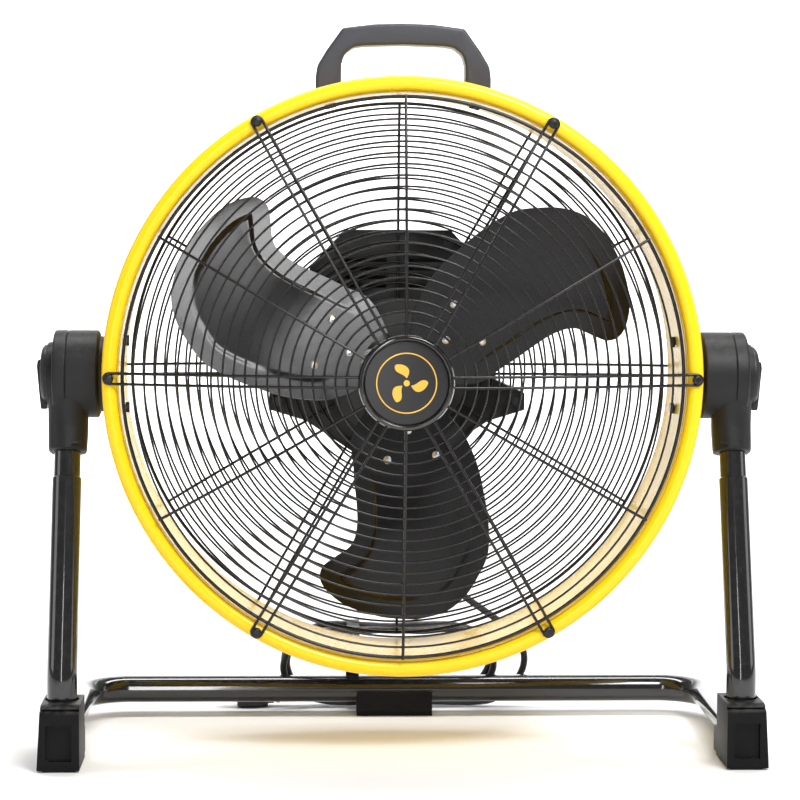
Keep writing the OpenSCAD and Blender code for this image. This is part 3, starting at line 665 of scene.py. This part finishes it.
for side, word in ((-1, "left"), (1, "right")):
    def on_pivot(x, y, z, s=side):
        """A place on this side's pivot, z out along the tilt axis."""
        return (s * z, pivot_y + x, pivot_z + y)

    def on_sleeve(x, y, z, s=side):
        """A place on the slanted front of this side's sleeve, y up the leg."""
        return along_leg(s, latch_reach - y) + Vector((
            -s * (latch_in + x * 0.6), -latch_front - z - latch_slant * (latch_in - x), 0.0))

    hub = lathe(word + "_pivot_boss", hub_profile, on_pivot, 96, material=pod_nylon)
    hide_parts(word + "_pivot_hub")
    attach(hub, "head")

    # The cup and its sleeve: round in front, flat behind, drawn in at the mouth
    cup = lathe("cup", cup_profile, on_pivot, 96, material=pod_nylon)
    points, faces = [], []
    for reach, size, ahead in sleeve_rings:
        middle = along_leg(side, reach) - Vector((0.0, ahead, 0.0))
        for k in range(ring_sides):
            turn = 2 * math.pi * k / ring_sides
            out = size * math.cos(turn)
            back = size * math.sin(turn)
            if back > 0:
                out = size * math.copysign(min(1, abs(math.cos(turn)) ** 0.35), math.cos(turn))
                back = 0.85 * size * math.sin(turn) ** 0.6
            points.append(middle + Vector((out, back * math.cos(leg_lean),
                                           -back * math.sin(leg_lean))))
    for i in range(len(sleeve_rings) - 1):
        for k in range(ring_sides):
            a, b, j = i * ring_sides, (i + 1) * ring_sides, (k + 1) % ring_sides
            faces.append((a + k, a + j, b + j, b + k))
    faces.append(tuple(range(ring_sides)))
    last = (len(sleeve_rings) - 1) * ring_sides
    faces.append(tuple(last + k for k in range(ring_sides)))
    sleeve = new_piece("sleeve", points, faces, pod_nylon)
    latch = slab("latch", latch_outline, 0.0, 0.0024, on_sleeve, 0.0003, 2, pod_nylon)
    socket = join(word + "_pivot_cup", [cup, sleeve, latch])
    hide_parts(word + "_pivot_socket")
    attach(socket, "stand")

    knob = lathe("knob", knob_profile, on_pivot, 72, material=lever_nylon)
    bar = slab("bar", bar_outline, -0.009, 0.009,
               lambda x, y, z, s=side: (s * y, pivot_y + z, pivot_z + x), 0.0016, 4, lever_nylon)
    lever = join(word + "_lever", [knob, bar])
    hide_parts(word + "_lock_lever")
    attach(lever, word + "_lever")


# ---- Drum ----
# Sheet steel rolled into a ring, seam welded, with a bead curled over a wire at each rim,
# powder coated safety yellow inside and out.
def on_head(x, y, z):
    """A place on the head: x right, y up and z forwards from the fan's axis."""
    return (x, pivot_y - z, pivot_z + y)


drum_yellow = finish_material("drum powder coat", (0.93, 0.585, 0.004), (0.97, 0.64, 0.007),
                              (0.24, 0.31), 330.0, 0.00004, cells=0.15, mottle=9.0, dusty=0.0,
                              level=0.4)
bead_mid_r, bead_r, bead_z = 0.292, 0.008, 0.066
wall_in, wall_out = 0.2836, 0.2856
bead_steps, bead_half_turn = 20, 152
front_bead = []
for i in range(bead_steps + 1):
    turn = math.radians(-bead_half_turn + 2 * bead_half_turn * i / bead_steps)
    front_bead.append((bead_mid_r + bead_r * math.sin(turn), bead_z + bead_r * math.cos(turn)))
rear_bead = [(r, -z) for r, z in reversed(front_bead)]
drum_profile = ([(wall_in, 0.0), (wall_in, 0.054), (wall_in + 0.0001, 0.0585)] + front_bead
                + [(wall_out + 0.0008, 0.0550), (wall_out, 0.0520), (wall_out, 0.0),
                   (wall_out, -0.0520), (wall_out + 0.0008, -0.0550)] + rear_bead
                + [(wall_in + 0.0001, -0.0585), (wall_in, -0.054)])
drum = lathe("drum", drum_profile, on_head, 288, closed=True, material=drum_yellow)
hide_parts("drum_shell")
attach(drum, "head")

# ---- Carrying handle ----
# Glass-filled nylon moulding in slate grey, bolted to the top of the drum from inside.
handle_nylon = finish_material("handle nylon", (0.040, 0.042, 0.051), (0.052, 0.054, 0.065),
                               (0.36, 0.48), 1000.0, 0.00010, cells=0.5, dusty=0.15, level=0.4)
seat_r, window_half, seat_steps = 0.28575, 0.063, 24
foot_arc = []
for i in range(seat_steps + 1):
    turn = math.radians(-18.0 + 36.0 * i / seat_steps)
    foot_arc.append((seat_r * math.sin(turn), seat_r * math.cos(turn)))
handle_outer = [(-0.0885, 0.300), (-0.0870, 0.312), (-0.0780, 0.327), (-0.0615, 0.3500),
                (-0.0300, 0.3540), (0.0, 0.3550), (0.0300, 0.3540), (0.0615, 0.3500),
                (0.0780, 0.327), (0.0870, 0.312), (0.0885, 0.300)]
handle_inner = [(0.0625, 0.3135), (0.0595, 0.3240), (0.0505, 0.3310), (0.0400, 0.3325),
                (0.0, 0.3338), (-0.0400, 0.3325), (-0.0505, 0.3310), (-0.0595, 0.3240),
                (-0.0625, 0.3135)]
outer_line = rounded([foot_arc[0]] + handle_outer + [foot_arc[-1]],
                     [0, 0.01, 0.02, 0.03, 0.005, 0.06, 0.2, 0.06, 0.005, 0.03, 0.02, 0.01, 0],
                     5, False)
inner_start = (window_half, math.sqrt(seat_r ** 2 - window_half ** 2))
inner_line = rounded([inner_start] + handle_inner + [(-inner_start[0], inner_start[1])],
                     [0, 0.012, 0.012, 0.014, 0.02, 0.2, 0.02, 0.014, 0.012, 0.012, 0], 5,
                     False)
right_arc = [p for p in reversed(foot_arc) if p[0] > window_half][1:]
left_arc = [p for p in reversed(foot_arc) if p[0] < -window_half][:-1]
handle = slab("handle", outer_line + right_arc + inner_line + left_arc, -0.018, 0.018,
              on_head, 0.0034, 4, handle_nylon)
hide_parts("carry_handle")
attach(handle, "head")


# ---- Grilles ----
# Mild steel wire: rings spot-welded under radial wires, six of them bent into hairpins whose
# ends loop round the screws on the bead. Dipped and stoved black.
grille_black = finish_material("grille enamel", (0.006, 0.006, 0.007), (0.012, 0.012, 0.013),
                               (0.20, 0.30), 800.0, 0.00002, cells=0.1, dusty=0.02, level=0.4)


class Maker:
    """Writes a Geometry Nodes tree: each call adds a node and links or sets its inputs."""

    def __init__(self, name, inputs):
        self.tree = bpy.data.node_groups.new(name, "GeometryNodeTree")
        self.tree.interface.new_socket("Geometry", in_out="INPUT",
                                       socket_type="NodeSocketGeometry")
        self.ids = {}
        for label, kind, value in inputs:
            socket = self.tree.interface.new_socket(label, in_out="INPUT", socket_type=kind)
            if value is not None:
                socket.default_value = value
            self.ids[label] = socket.identifier
        self.tree.interface.new_socket("Geometry", in_out="OUTPUT",
                                       socket_type="NodeSocketGeometry")
        self.inlet = self.tree.nodes.new("NodeGroupInput").outputs

    def __call__(self, kind, *values, out=0, **settings):
        """A new node with its properties and first inputs set; gives back one of its outputs."""
        node = self.tree.nodes.new(kind)
        for label, value in settings.items():
            setattr(node, label, value)
        sockets = [s for s in node.inputs if s.enabled]
        for socket, value in zip(sockets, values):
            if isinstance(value, bpy.types.NodeSocket):
                self.tree.links.new(value, socket)
            else:
                socket.default_value = value
        return [s for s in node.outputs if s.enabled][out]

    def math(self, operation, *values):
        """The result of one sum on numbers or sockets."""
        return self("ShaderNodeMath", *values, operation=operation)

    def link(self, value, result, label):
        """Links a value to the named input of the node that a result comes from."""
        self.tree.links.new(value, result.node.inputs[label])

    def hang(self, geometry, turn=0.0):
        """Stands what lies flat on the XY plane upright on the fan's axis."""
        hung = self("GeometryNodeTransform", geometry)
        hung.node.inputs["Translation"].default_value = (0.0, pivot_y, pivot_z)
        hung.node.inputs["Rotation"].default_value = (math.pi / 2, 0.0, turn)
        return hung

    def end(self, geometry, material):
        """Ends the tree with plain geometry in one material."""
        whole = self("GeometryNodeRealizeInstances", geometry)
        painted = self("GeometryNodeSetMaterial", whole)
        painted.node.inputs["Material"].default_value = material
        last = self.tree.nodes.new("NodeGroupOutput")
        self.tree.links.new(painted, last.inputs[0])


def run_nodes(piece, maker, **values):
    """Puts a node tree on a piece with the given input values, and keeps the plain result."""
    modifier = piece.modifiers.new("nodes", "NODES")
    modifier.node_group = maker.tree
    for label, value in values.items():
        modifier[maker.ids[label]] = value
    return bake(piece)


grille_sizes = [
    ("Rings", "NodeSocketInt", 21), ("Ring pitch", "NodeSocketFloat", 0.01105),
    ("Outer ring", "NodeSocketFloat", 0.279), ("Ring wire", "NodeSocketFloat", 0.0011),
    ("Rim wire", "NodeSocketFloat", 0.0018), ("Spoke wire", "NodeSocketFloat", 0.0015),
    ("Edge radius", "NodeSocketFloat", 0.2826), ("Edge height", "NodeSocketFloat", 0.0757),
    ("Rise", "NodeSocketFloat", 0.0485), ("Power", "NodeSocketFloat", 2.0),
    ("Facing", "NodeSocketFloat", 1.0)
]
grille = Maker("wire grille", grille_sizes)
size = grille.inlet


def crown(radius, drop):
    """Height of the grille at a radius, less the depth that a wire lies under the spokes."""
    share = grille.math("DIVIDE", radius, size["Edge radius"])
    bent = grille.math("POWER", grille.math("MINIMUM", share, 1.0), size["Power"])
    rise = grille.math("MULTIPLY", grille.math("SUBTRACT", 1.0, bent), size["Rise"])
    return grille.math("SUBTRACT", grille.math("ADD", rise, size["Edge height"]), drop)


# Rings: one circle on each of a row of points, scaled to its radius and set on the crown
step = grille("GeometryNodeInputIndex")
ring_radius = grille.math("SUBTRACT", size["Outer ring"],
                          grille.math("MULTIPLY", step, size["Ring pitch"]))
under = grille.math("ADD", size["Spoke wire"], size["Ring wire"])
ring_place = grille("ShaderNodeCombineXYZ", 0.0, 0.0, crown(ring_radius, under))
row = grille("GeometryNodePoints", size["Rings"], ring_place)
circle = grille("GeometryNodeCurvePrimitiveCircle", 128)
stamp = grille("GeometryNodeInstanceOnPoints", row)
grille.link(circle, stamp, "Instance")
grille.link(grille("ShaderNodeCombineXYZ", ring_radius, ring_radius, 1.0), stamp, "Scale")
rings = grille("GeometryNodeRealizeInstances", stamp)
rim_under = grille.math("ADD", size["Spoke wire"], size["Rim wire"])
rim_place = grille("ShaderNodeCombineXYZ", 0.0, 0.0, crown(size["Outer ring"], rim_under))
rim = grille("GeometryNodeCurvePrimitiveCircle", 160)
grille.link(size["Outer ring"], rim, "Radius")
rim = grille("GeometryNodeSetPosition", rim)
grille.link(rim_place, rim, "Offset")

# Spokes: the flat plan that the piece brings is turned into six and laid over the crown
turned = grille("GeometryNodeInstanceOnPoints", grille("GeometryNodePoints", 6))
grille.link(size["Geometry"], turned, "Instance")
sixth = grille.math("MULTIPLY", grille("GeometryNodeInputIndex"), math.pi / 3)
grille.link(grille("ShaderNodeCombineXYZ", 0.0, 0.0, sixth), turned, "Rotation")
plan = grille("GeometryNodeMeshToCurve", grille("GeometryNodeRealizeInstances", turned))
spot = grille("GeometryNodeInputPosition")
reach = grille("ShaderNodeVectorMath", spot, operation="LENGTH")
laid = grille("GeometryNodeSetPosition", plan)
grille.link(grille("ShaderNodeCombineXYZ", 0.0, 0.0, crown(reach, 0.0)), laid, "Offset")

wires = []
for lines, gauge, sides in ((rings, "Ring wire", 8), (rim, "Rim wire", 10),
                            (laid, "Spoke wire", 10)):
    faced = grille("GeometryNodeTransform", lines)
    grille.link(grille("ShaderNodeCombineXYZ", 1.0, 1.0, size["Facing"]), faced, "Scale")
    hung = grille.hang(faced)
    section = grille("GeometryNodeCurvePrimitiveCircle", sides)
    grille.link(size[gauge], section, "Radius")
    wires.append(grille("GeometryNodeCurveToMesh", hung, section))
bundle = grille("GeometryNodeJoinGeometry")
for wire in wires:
    grille.link(wire, bundle, "Geometry")
smoothed = grille("GeometryNodeSetShadeSmooth", bundle)
grille.end(smoothed, grille_black)

hairpin_half, single_end = 0.0052, 0.2805


def spoke_plan(name, top_r):
    """The flat plan of one hairpin along +X and of one single wire half a step round."""
    spots = []
    count, loop_count = 44, 14
    for i in range(count + 1):
        spots.append((top_r + (bead_mid_r - top_r) * i / count, -hairpin_half, 0.0))
    for i in range(1, loop_count):
        turn = math.pi * i / loop_count - math.pi / 2
        spots.append((bead_mid_r + hairpin_half * math.cos(turn),
                      hairpin_half * math.sin(turn), 0.0))
    for i in range(count + 1):
        spots.append((bead_mid_r + (top_r - bead_mid_r) * i / count, hairpin_half, 0.0))
    edges = [(i, i + 1) for i in range(len(spots) - 1)]
    start = len(spots)
    for i in range(count + 1):
        reach = top_r + (single_end - top_r) * i / count
        spots.append((reach * math.cos(math.pi / 6), reach * math.sin(math.pi / 6), 0.0))
    edges += [(start + i, start + i + 1) for i in range(count)]
    mesh = bpy.data.meshes.new(name)
    mesh.from_pydata(spots, edges, [])
    return in_scene(name, mesh)


front = run_nodes(spoke_plan("front_wires", 0.044), grille)
rear = run_nodes(spoke_plan("rear_wires", 0.074), grille, Rings=18, Rise=0.0212, Power=5.0,
                 Facing=-1.0)
for piece, node in ((front, "front_grille"), (rear, "rear_grille")):
    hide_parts(node)
    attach(piece, "head")


def as_drawn(x, y, z):
    """A pattern stays where it is drawn; the node trees put its copies in place."""
    return (x, y, z)


# Grille screws: black pan heads with a raised cross, twelve in all, one at each hairpin
screw_profile = rounded([(0.0, -0.0030), (0.0046, -0.0030), (0.0046, 0.0008),
                         (0.0034, 0.0022), (0.0, 0.0025)], [0, 0, 0.0012, 0.003, 0], 4, False)
screw = lathe("screw_pattern", screw_profile, as_drawn, 24, material=black_steel)
cross_outline = [(-0.0026, -0.0005), (0.0026, -0.0005), (0.0026, 0.0005), (-0.0026, 0.0005)]
cross_bars = []
for turn in (0, 90):
    c, s = math.cos(math.radians(turn)), math.sin(math.radians(turn))
    cross_bars.append(slab("cross", cross_outline, 0.0016, 0.00262,
                           lambda x, y, z, c=c, s=s: (x * c - y * s, x * s + y * c, z),
                           0.0001, 1, black_steel))
screw_shape = join("screw_shape", [screw, *cross_bars])
ring_of = Maker("screws in a ring", [
    ("Screw", "NodeSocketObject", None), ("Count", "NodeSocketInt", 6),
    ("Circle radius", "NodeSocketFloat", bead_mid_r), ("Height", "NodeSocketFloat", 0.0774)])
spots = ring_of("GeometryNodePoints", ring_of.inlet["Count"])
angle = ring_of.math("MULTIPLY", ring_of("GeometryNodeInputIndex"), math.pi / 3)
place_x = ring_of.math("MULTIPLY", ring_of.math("COSINE", angle), ring_of.inlet["Circle radius"])
place_y = ring_of.math("MULTIPLY", ring_of.math("SINE", angle), ring_of.inlet["Circle radius"])
moved = ring_of("GeometryNodeSetPosition", spots)
ring_of.link(ring_of("ShaderNodeCombineXYZ", place_x, place_y, ring_of.inlet["Height"]),
             moved, "Position")
shape = ring_of("GeometryNodeObjectInfo", ring_of.inlet["Screw"], out=-1)
stamped = ring_of("GeometryNodeInstanceOnPoints", moved)
ring_of.link(shape, stamped, "Instance")
twist = ring_of.math("MULTIPLY", ring_of("GeometryNodeInputIndex"), 1.9)
ring_of.link(ring_of("ShaderNodeCombineXYZ", 0.0, 0.0, twist), stamped, "Rotation")
front_set = ring_of.hang(stamped)
rear_set = ring_of.hang(stamped, turn=math.pi)
both_sets = ring_of("GeometryNodeJoinGeometry")
ring_of.link(front_set, both_sets, "Geometry")
ring_of.link(rear_set, both_sets, "Geometry")
ring_of.end(both_sets, black_steel)
screw_heads = in_scene("screw_heads", bpy.data.meshes.new("screw_heads"))
run_nodes(screw_heads, ring_of, Screw=screw_shape)
bpy.data.objects.remove(screw_shape)
finish_mesh(screw_heads)
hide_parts("grille_screws")
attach(screw_heads, "head")
dress(grille_black, "grille_clamp_plate")

# ---- Badge ----
# Gloss black ABS bezel pressed over the clamp plate, with a satin disc inside it that carries
# a plain gilt mark of three vanes, foil stamped.
badge_gloss = finish_material("badge gloss", (0.003, 0.003, 0.003), (0.006, 0.006, 0.006),
                              (0.07, 0.13), 300.0, 0.00001, cells=0.0, dusty=0.05, coat=0.8)
badge_satin = finish_material("badge satin", (0.008, 0.008, 0.009), (0.014, 0.014, 0.015),
                              (0.3, 0.4), 1400.0, 0.00005, dusty=0.02)
gilt = finish_material("gilt foil", (0.80, 0.42, 0.05), (0.92, 0.55, 0.10), (0.26, 0.38),
                       900.0, 0.00004, cells=0.1, metal=0.55, dusty=0.0)
badge_z = 0.1248
bezel_profile = rounded(
    [(0.0411, badge_z), (0.0470, badge_z), (0.0470, badge_z + 0.004),
     (0.0455, badge_z + 0.0085), (0.0425, badge_z + 0.0090), (0.0411, badge_z + 0.0070)],
    [0.0003, 0.0005, 0.003, 0.0018, 0.0014, 0.0006], 5)
bezel = lathe("badge_bezel", bezel_profile, on_head, 128, closed=True, material=badge_gloss)
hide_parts("badge_ring")
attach(bezel, "head")
face_profile = rounded([(0.0, badge_z), (0.0409, badge_z), (0.0409, badge_z + 0.0044),
                        (0.0, badge_z + 0.0050)], [0, 0, 0.0008, 0], 4, False)
badge_face = lathe("badge_face", face_profile, on_head, 96, material=badge_satin)
vane_root, vane_long, vane_steps = 0.0045, 0.0165, 24
mark_low, mark_high = badge_z + 0.0046, badge_z + 0.0053
line_in, line_out = 0.0285, 0.0297
vane = []
for bulge, order in ((0.44, range(vane_steps + 1)), (-0.40, range(vane_steps, -1, -1))):
    for i in order:
        t = i / vane_steps
        vane.append((vane_root + vane_long * t,
                     0.55 * t ** 1.3 + bulge * math.sin(math.pi * t) ** 0.8))
marks = []
for third in range(3):
    start = math.radians(90 + 120 * third)
    outline = [(r * math.cos(start + a), r * math.sin(start + a)) for r, a in vane[:-1]]
    marks.append(slab("vane", outline[1:], mark_low, mark_high, on_head, 0.0001, 1, gilt))
marks.append(lathe("boss", [(0.0, mark_low), (0.0030, mark_low), (0.0030, mark_high),
                            (0.0, badge_z + 0.0054)], on_head, 32, material=gilt))
gilt_ring = rounded([(line_in, badge_z + 0.0044), (line_out, badge_z + 0.0044),
                     (line_out, badge_z + 0.0051), (line_in, badge_z + 0.0051)], 0.0001, 2)
marks.append(lathe("line", gilt_ring, on_head, 96, closed=True, material=gilt))
badge = join("badge_mark", marks)
for piece in (badge_face, badge):
    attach(piece, "head")
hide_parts("badge_disc")

# ---- Motor and rear housing ----
# Pressed steel motor can on a plate welded to the rear grille, and behind the grille a moulded
# box with louvres for the capacitor and the switch.
motor_paint = finish_material("motor paint", (0.018, 0.018, 0.020), (0.030, 0.030, 0.032),
                              (0.35, 0.5), 420.0, 0.00008, cells=0.2, dusty=0.1)
housing_abs = finish_material("housing plastic", (0.007, 0.007, 0.008), (0.012, 0.012, 0.013),
                              (0.35, 0.48), 1050.0, 0.00010, cells=0.5, dusty=0.05, level=0.35)
softened_copy("motor_can", "motor_shell", 0.0012, 3, motor_paint, "head")
dress(motor_paint, "motor_plate")
softened_copy("rear_housing", "housing_box", 0.003, 4, housing_abs, "head",
              50)
softened_copy("housing_front", "housing_lid", 0.0006, 2, housing_abs, "head",
              50)
dress(black_steel, "housing_screws")
softened_copy("speed_knob", "speed_dial", 0.0012, 3, lever_nylon, "speed_knob")

# Windings: lacquered copper wire wound in even turns round the core
copper = finish_material("lacquered copper", (0.30, 0.085, 0.03), (0.48, 0.16, 0.06),
                         (0.25, 0.4), 900.0, 0.00003, metal=0.8, dusty=0.0)
tree = copper.node_tree
turns_of_wire = add(tree, "ShaderNodeTexWave", bands_direction="Y")
turns_of_wire.inputs["Scale"].default_value = 260.0
turns_of_wire.inputs["Distortion"].default_value = 1.2
wire_place = add(tree, "ShaderNodeTexCoord")
relief = next(n for n in tree.nodes if n.bl_idname == "ShaderNodeBump")
wire_up(tree, (wire_place, "Object", turns_of_wire, "Vector"),
        (turns_of_wire, "Fac", relief, "Height"))
relief.inputs["Distance"].default_value = 0.0004
dress(copper, "stator_core")

ground_steel = finish_material("ground steel", (0.42, 0.42, 0.44), (0.56, 0.56, 0.58),
                               (0.18, 0.32), 500.0, 0.00002, metal=1.0, dusty=0.0)
dress(ground_steel, "motor_bearings", "motor_shaft", "armature", "hub_nut")
cap_alloy = finish_material("capacitor case", (0.55, 0.56, 0.58), (0.68, 0.69, 0.70),
                            (0.3, 0.45), 650.0, 0.00003, metal=0.9, dusty=0.05)
dress(cap_alloy, "run_capacitor")
switch_resin = finish_material("switch resin", (0.60, 0.57, 0.49), (0.72, 0.69, 0.60),
                               (0.4, 0.55), 900.0, 0.00008, dusty=0.05)
dress(switch_resin, "speed_switch")

# ---- Blades, spider and rivets ----
# Each blade is 1.6 mm steel sheet, blanked with a lobed leading edge, pressed with a camber and
# a raised bead that follows its outline, painted black and riveted to an arm of the spider.
blade_paint = finish_material("blade paint", (0.0055, 0.0055, 0.006), (0.009, 0.009, 0.010),
                              (0.17, 0.24), 380.0, 0.000012, cells=0.0, dusty=0.015, level=0.34)
tip_r, pitch, rotor_z, blade_t = 0.254, math.radians(22), -0.010, 0.0016
leading = [(0.17, -42), (0.25, -40), (0.335, -36), (0.405, -28), (0.49, -22), (0.57, -17.8),
           (0.65, -15.4), (0.73, -15.4), (0.8, -18.8), (0.86, -21.2), (0.915, -20.6),
           (0.955, -17.4), (0.985, -12), (1.0, -4)]
trailing = [(0.17, 48), (0.24, 50), (0.32, 47.8), (0.405, 43.6), (0.49, 39.3), (0.57, 35.3),
            (0.65, 32), (0.73, 28.8), (0.8, 25.6), (0.865, 21), (0.925, 16.5), (0.975, 11),
            (1.0, 4)]


def edge_line(spots):
    """The edge's angle at any share of the tip radius, on a smooth curve."""
    path = smooth_path([(share, angle / 100.0, 0.0) for share, angle in spots], 0.004)

    def angle_at(share):
        for a, b in zip(path, path[1:]):
            if a.x <= share <= b.x:
                t = (share - a.x) / max(1e-9, b.x - a.x)
                return math.radians(100.0 * (a.y + (b.y - a.y) * t))
        return math.radians(100.0 * (path[0].y if share < path[0].x else path[-1].y))

    return angle_at


def smoothstep(low, high, value):
    """0 below low, 1 above high, and an eased step between them."""
    t = max(0.0, min(1.0, (value - low) / (high - low)))
    return t * t * (3 - 2 * t)


lead_angle, trail_angle = edge_line(leading), edge_line(trailing)
rows, columns, root_share = 156, 124, 0.17
# Each grid point is (x, y, share of the tip radius, share of the way across the blade)
flat = []
for i in range(rows + 1):
    share = root_share + (1 - root_share) * (1 - (1 - i / rows) ** 1.15)
    a, b = lead_angle(share), trail_angle(share)
    line = []
    for k in range(columns + 1):
        s = k / columns
        angle = a + (b - a) * s
        line.append((tip_r * share * math.cos(angle),
                     tip_r * share * math.sin(angle) / math.cos(pitch), share, s))
    flat.append(line)
rim_spots = [flat[i][k] for i in range(rows + 1) for k in (0, columns)]
rim_spots += [flat[rows][k] for k in range(columns + 1)]
rim_finder = kdtree.KDTree(len(rim_spots))
for i, (x, y, share, s) in enumerate(rim_spots):
    rim_finder.insert((x, y, 0.0), i)
rim_finder.balance()
flange_in, step_wide, flange_drop = 0.0245, 0.0058, 0.0010
lift_lead, lift_trail = 0.0062, -0.0036
heights = []
for line in flat:
    row_heights = []
    for x, y, share, s in line:
        inset = rim_finder.find((x, y, 0.0))[2]
        inside = smoothstep(flange_in - step_wide, flange_in, inset)
        lift = (lift_lead + (lift_trail - lift_lead) * s) * smoothstep(0.42, 0.66, share)
        drop = flange_drop * smoothstep(0.28, 0.36, share)
        row_heights.append(inside * lift - (1 - inside) * drop)
    heights.append(row_heights)


def blade_piece(name, degrees):
    """One blade: the pressed sheet in its pitched plane, turned to its place on the rotor."""
    turn = math.radians(degrees)
    points, faces = [], []
    for skin in (0.0, blade_t):
        for line, row_heights in zip(flat, heights):
            for (x, y, share, s), height in zip(line, row_heights):
                z = skin + height
                y2 = y * math.cos(pitch) - z * math.sin(pitch)
                z2 = y * math.sin(pitch) + z * math.cos(pitch) + rotor_z
                points.append(on_head(x * math.cos(turn) - y2 * math.sin(turn),
                                      x * math.sin(turn) + y2 * math.cos(turn), z2))
    width, skin_size = columns + 1, (rows + 1) * (columns + 1)
    for i in range(rows):
        for k in range(columns):
            a = i * width + k
            faces.append((a, a + 1, a + width + 1, a + width))
            a += skin_size
            faces.append((a, a + width, a + width + 1, a + 1))
    border = list(range(width))
    border += [i * width + columns for i in range(1, rows + 1)]
    border += [rows * width + k for k in range(columns - 1, -1, -1)]
    border += [i * width for i in range(rows - 1, 0, -1)]
    for a, b in zip(border, border[1:] + border[:1]):
        faces.append((a, b, b + skin_size, a + skin_size))
    return new_piece(name, points, faces, blade_paint)


for name, node, degrees in (("blade_upper_right", "blade_a", 30),
                            ("blade_upper_left", "blade_b", 150),
                            ("blade_bottom", "blade_c", 270)):
    blade = blade_piece(name, degrees)
    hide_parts(node)
    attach(blade, "rotor")
softened_copy("blade_spider", "spider", 0.0005, 2, blade_paint, "rotor", 50)

# Rivets: aluminium, domed heads front and back, three to a blade
rivet_alloy = finish_material("rivet alloy", (0.60, 0.60, 0.61), (0.74, 0.74, 0.75),
                              (0.22, 0.36), 600.0, 0.00003, metal=1.0, dusty=0.0)
rivet_profile = [(0.0, -0.0041), (0.0030, -0.0040), (0.0042, -0.0032), (0.0042, -0.0026),
                 (0.0025, -0.0026), (0.0025, 0.0016), (0.0043, 0.0016), (0.0042, 0.0022),
                 (0.0030, 0.0031), (0.0012, 0.0034), (0.0, 0.0034)]
rivet = lathe("rivet_pattern", rivet_profile, as_drawn, 16, material=rivet_alloy)
rivet_row = Maker("rivets on three blades", [
    ("Rivet", "NodeSocketObject", None), ("Pitch", "NodeSocketFloat", pitch)])
seat = rivet_row("GeometryNodeInstanceOnPoints",
                 rivet_row("GeometryNodeMeshToPoints", rivet_row.inlet["Geometry"]))
rivet_row.link(rivet_row("GeometryNodeObjectInfo", rivet_row.inlet["Rivet"], out=-1),
               seat, "Instance")
tipped = rivet_row("GeometryNodeTransform", seat)
rivet_row.link(rivet_row("ShaderNodeCombineXYZ", rivet_row.inlet["Pitch"], 0.0, 0.0),
               tipped, "Rotation")
tipped.node.inputs["Translation"].default_value = (0.0, 0.0, rotor_z)
thirds = rivet_row("GeometryNodeInstanceOnPoints", rivet_row("GeometryNodePoints", 3))
rivet_row.link(tipped, thirds, "Instance")
third_turn = rivet_row.math("ADD", rivet_row.math(
    "MULTIPLY", rivet_row("GeometryNodeInputIndex"), 2 * math.pi / 3), math.pi / 6)
rivet_row.link(rivet_row("ShaderNodeCombineXYZ", 0.0, 0.0, third_turn), thirds, "Rotation")
rivet_row.end(rivet_row.hang(thirds), rivet_alloy)
spots = [(r * math.cos(math.radians(a)), r * math.sin(math.radians(a)) / math.cos(pitch), 0.0)
         for r, a in ((0.058, 8), (0.090, -8), (0.090, 24))]
holder = bpy.data.meshes.new("rivets")
holder.from_pydata(spots, [], [])
rivets = in_scene("rivets", holder)
run_nodes(rivets, rivet_row, Rivet=rivet)
bpy.data.objects.remove(rivet)
finish_mesh(rivets)
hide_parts("blade_rivets")
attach(rivets, "rotor")

# ---- Studio ----
# A pale sweep of paper under and far behind the fan, a large soft light above and in front, a
# narrow one beside the camera for the tubes, two weak fills, and two lights for the paper.
paper = finish_material("studio paper", (0.86, 0.86, 0.86), (0.90, 0.90, 0.90), (0.8, 0.9),
                        300.0, 0.00002, dusty=0.0, level=0.2)
paper_rise_y, paper_bend_r, paper_half, paper_top, paper_steps = 3.4, 1.5, 9.0, 7.0, 12
sweep_line = [(-paper_half, 0.0), (paper_rise_y, 0.0)]
for i in range(paper_steps + 1):
    turn = math.pi / 2 * i / paper_steps
    sweep_line.append((paper_rise_y + paper_bend_r * math.sin(turn),
                       paper_bend_r * (1 - math.cos(turn))))
sweep_line.append((paper_rise_y + paper_bend_r, paper_top))
points, faces = [], []
for y, z in sweep_line:
    points += [(-paper_half, y, z), (paper_half, y, z)]
for i in range(len(sweep_line) - 1):
    faces.append((2 * i, 2 * i + 1, 2 * i + 3, 2 * i + 2))
backdrop = new_piece("studio_paper", points, faces, paper)


def soft_light(name, place, target, width, height, power):
    """A rectangular lamp at a place, facing its target; power in watts."""
    data = bpy.data.lights.new(name, "AREA")
    data.shape = "RECTANGLE"
    data.size, data.size_y, data.energy = width, height, power
    light = in_scene(name, data)
    light.location = place
    way = Vector(target) - Vector(place)
    light.rotation_euler = way.to_track_quat("-Z", "Y").to_euler()


middle = (0.0, 0.0, 0.38)
soft_light("overhead soft box", (0.76, -1.56, 2.11), (-0.13, 0.0, 0.48), 1.1, 0.8, 60.0)
soft_light("front strip", (-0.35, -2.9, 0.75), middle, 0.12, 1.7, 13.0)
soft_light("left fill", (-3.0, -0.6, 1.3), middle, 1.2, 2.0, 14.0)
soft_light("right fill", (3.0, -0.3, 1.3), middle, 1.2, 2.0, 14.0)
soft_light("top light", (0.0, 0.9, 3.6), (0.0, 2.7, 1.0), 4.0, 0.8, 170.0)
soft_light("paper light", (0.0, 3.1, 2.7), (0.0, 4.6, 0.7), 5.0, 0.8, 150.0)
world = bpy.data.worlds.new("studio air")
world.use_nodes = True
air = world.node_tree.nodes["Background"]
air.inputs["Color"].default_value = (1.0, 1.0, 1.0, 1.0)
air.inputs["Strength"].default_value = 0.26
bpy.context.scene.world = world
bpy.context.scene.view_settings.view_transform = "Standard"
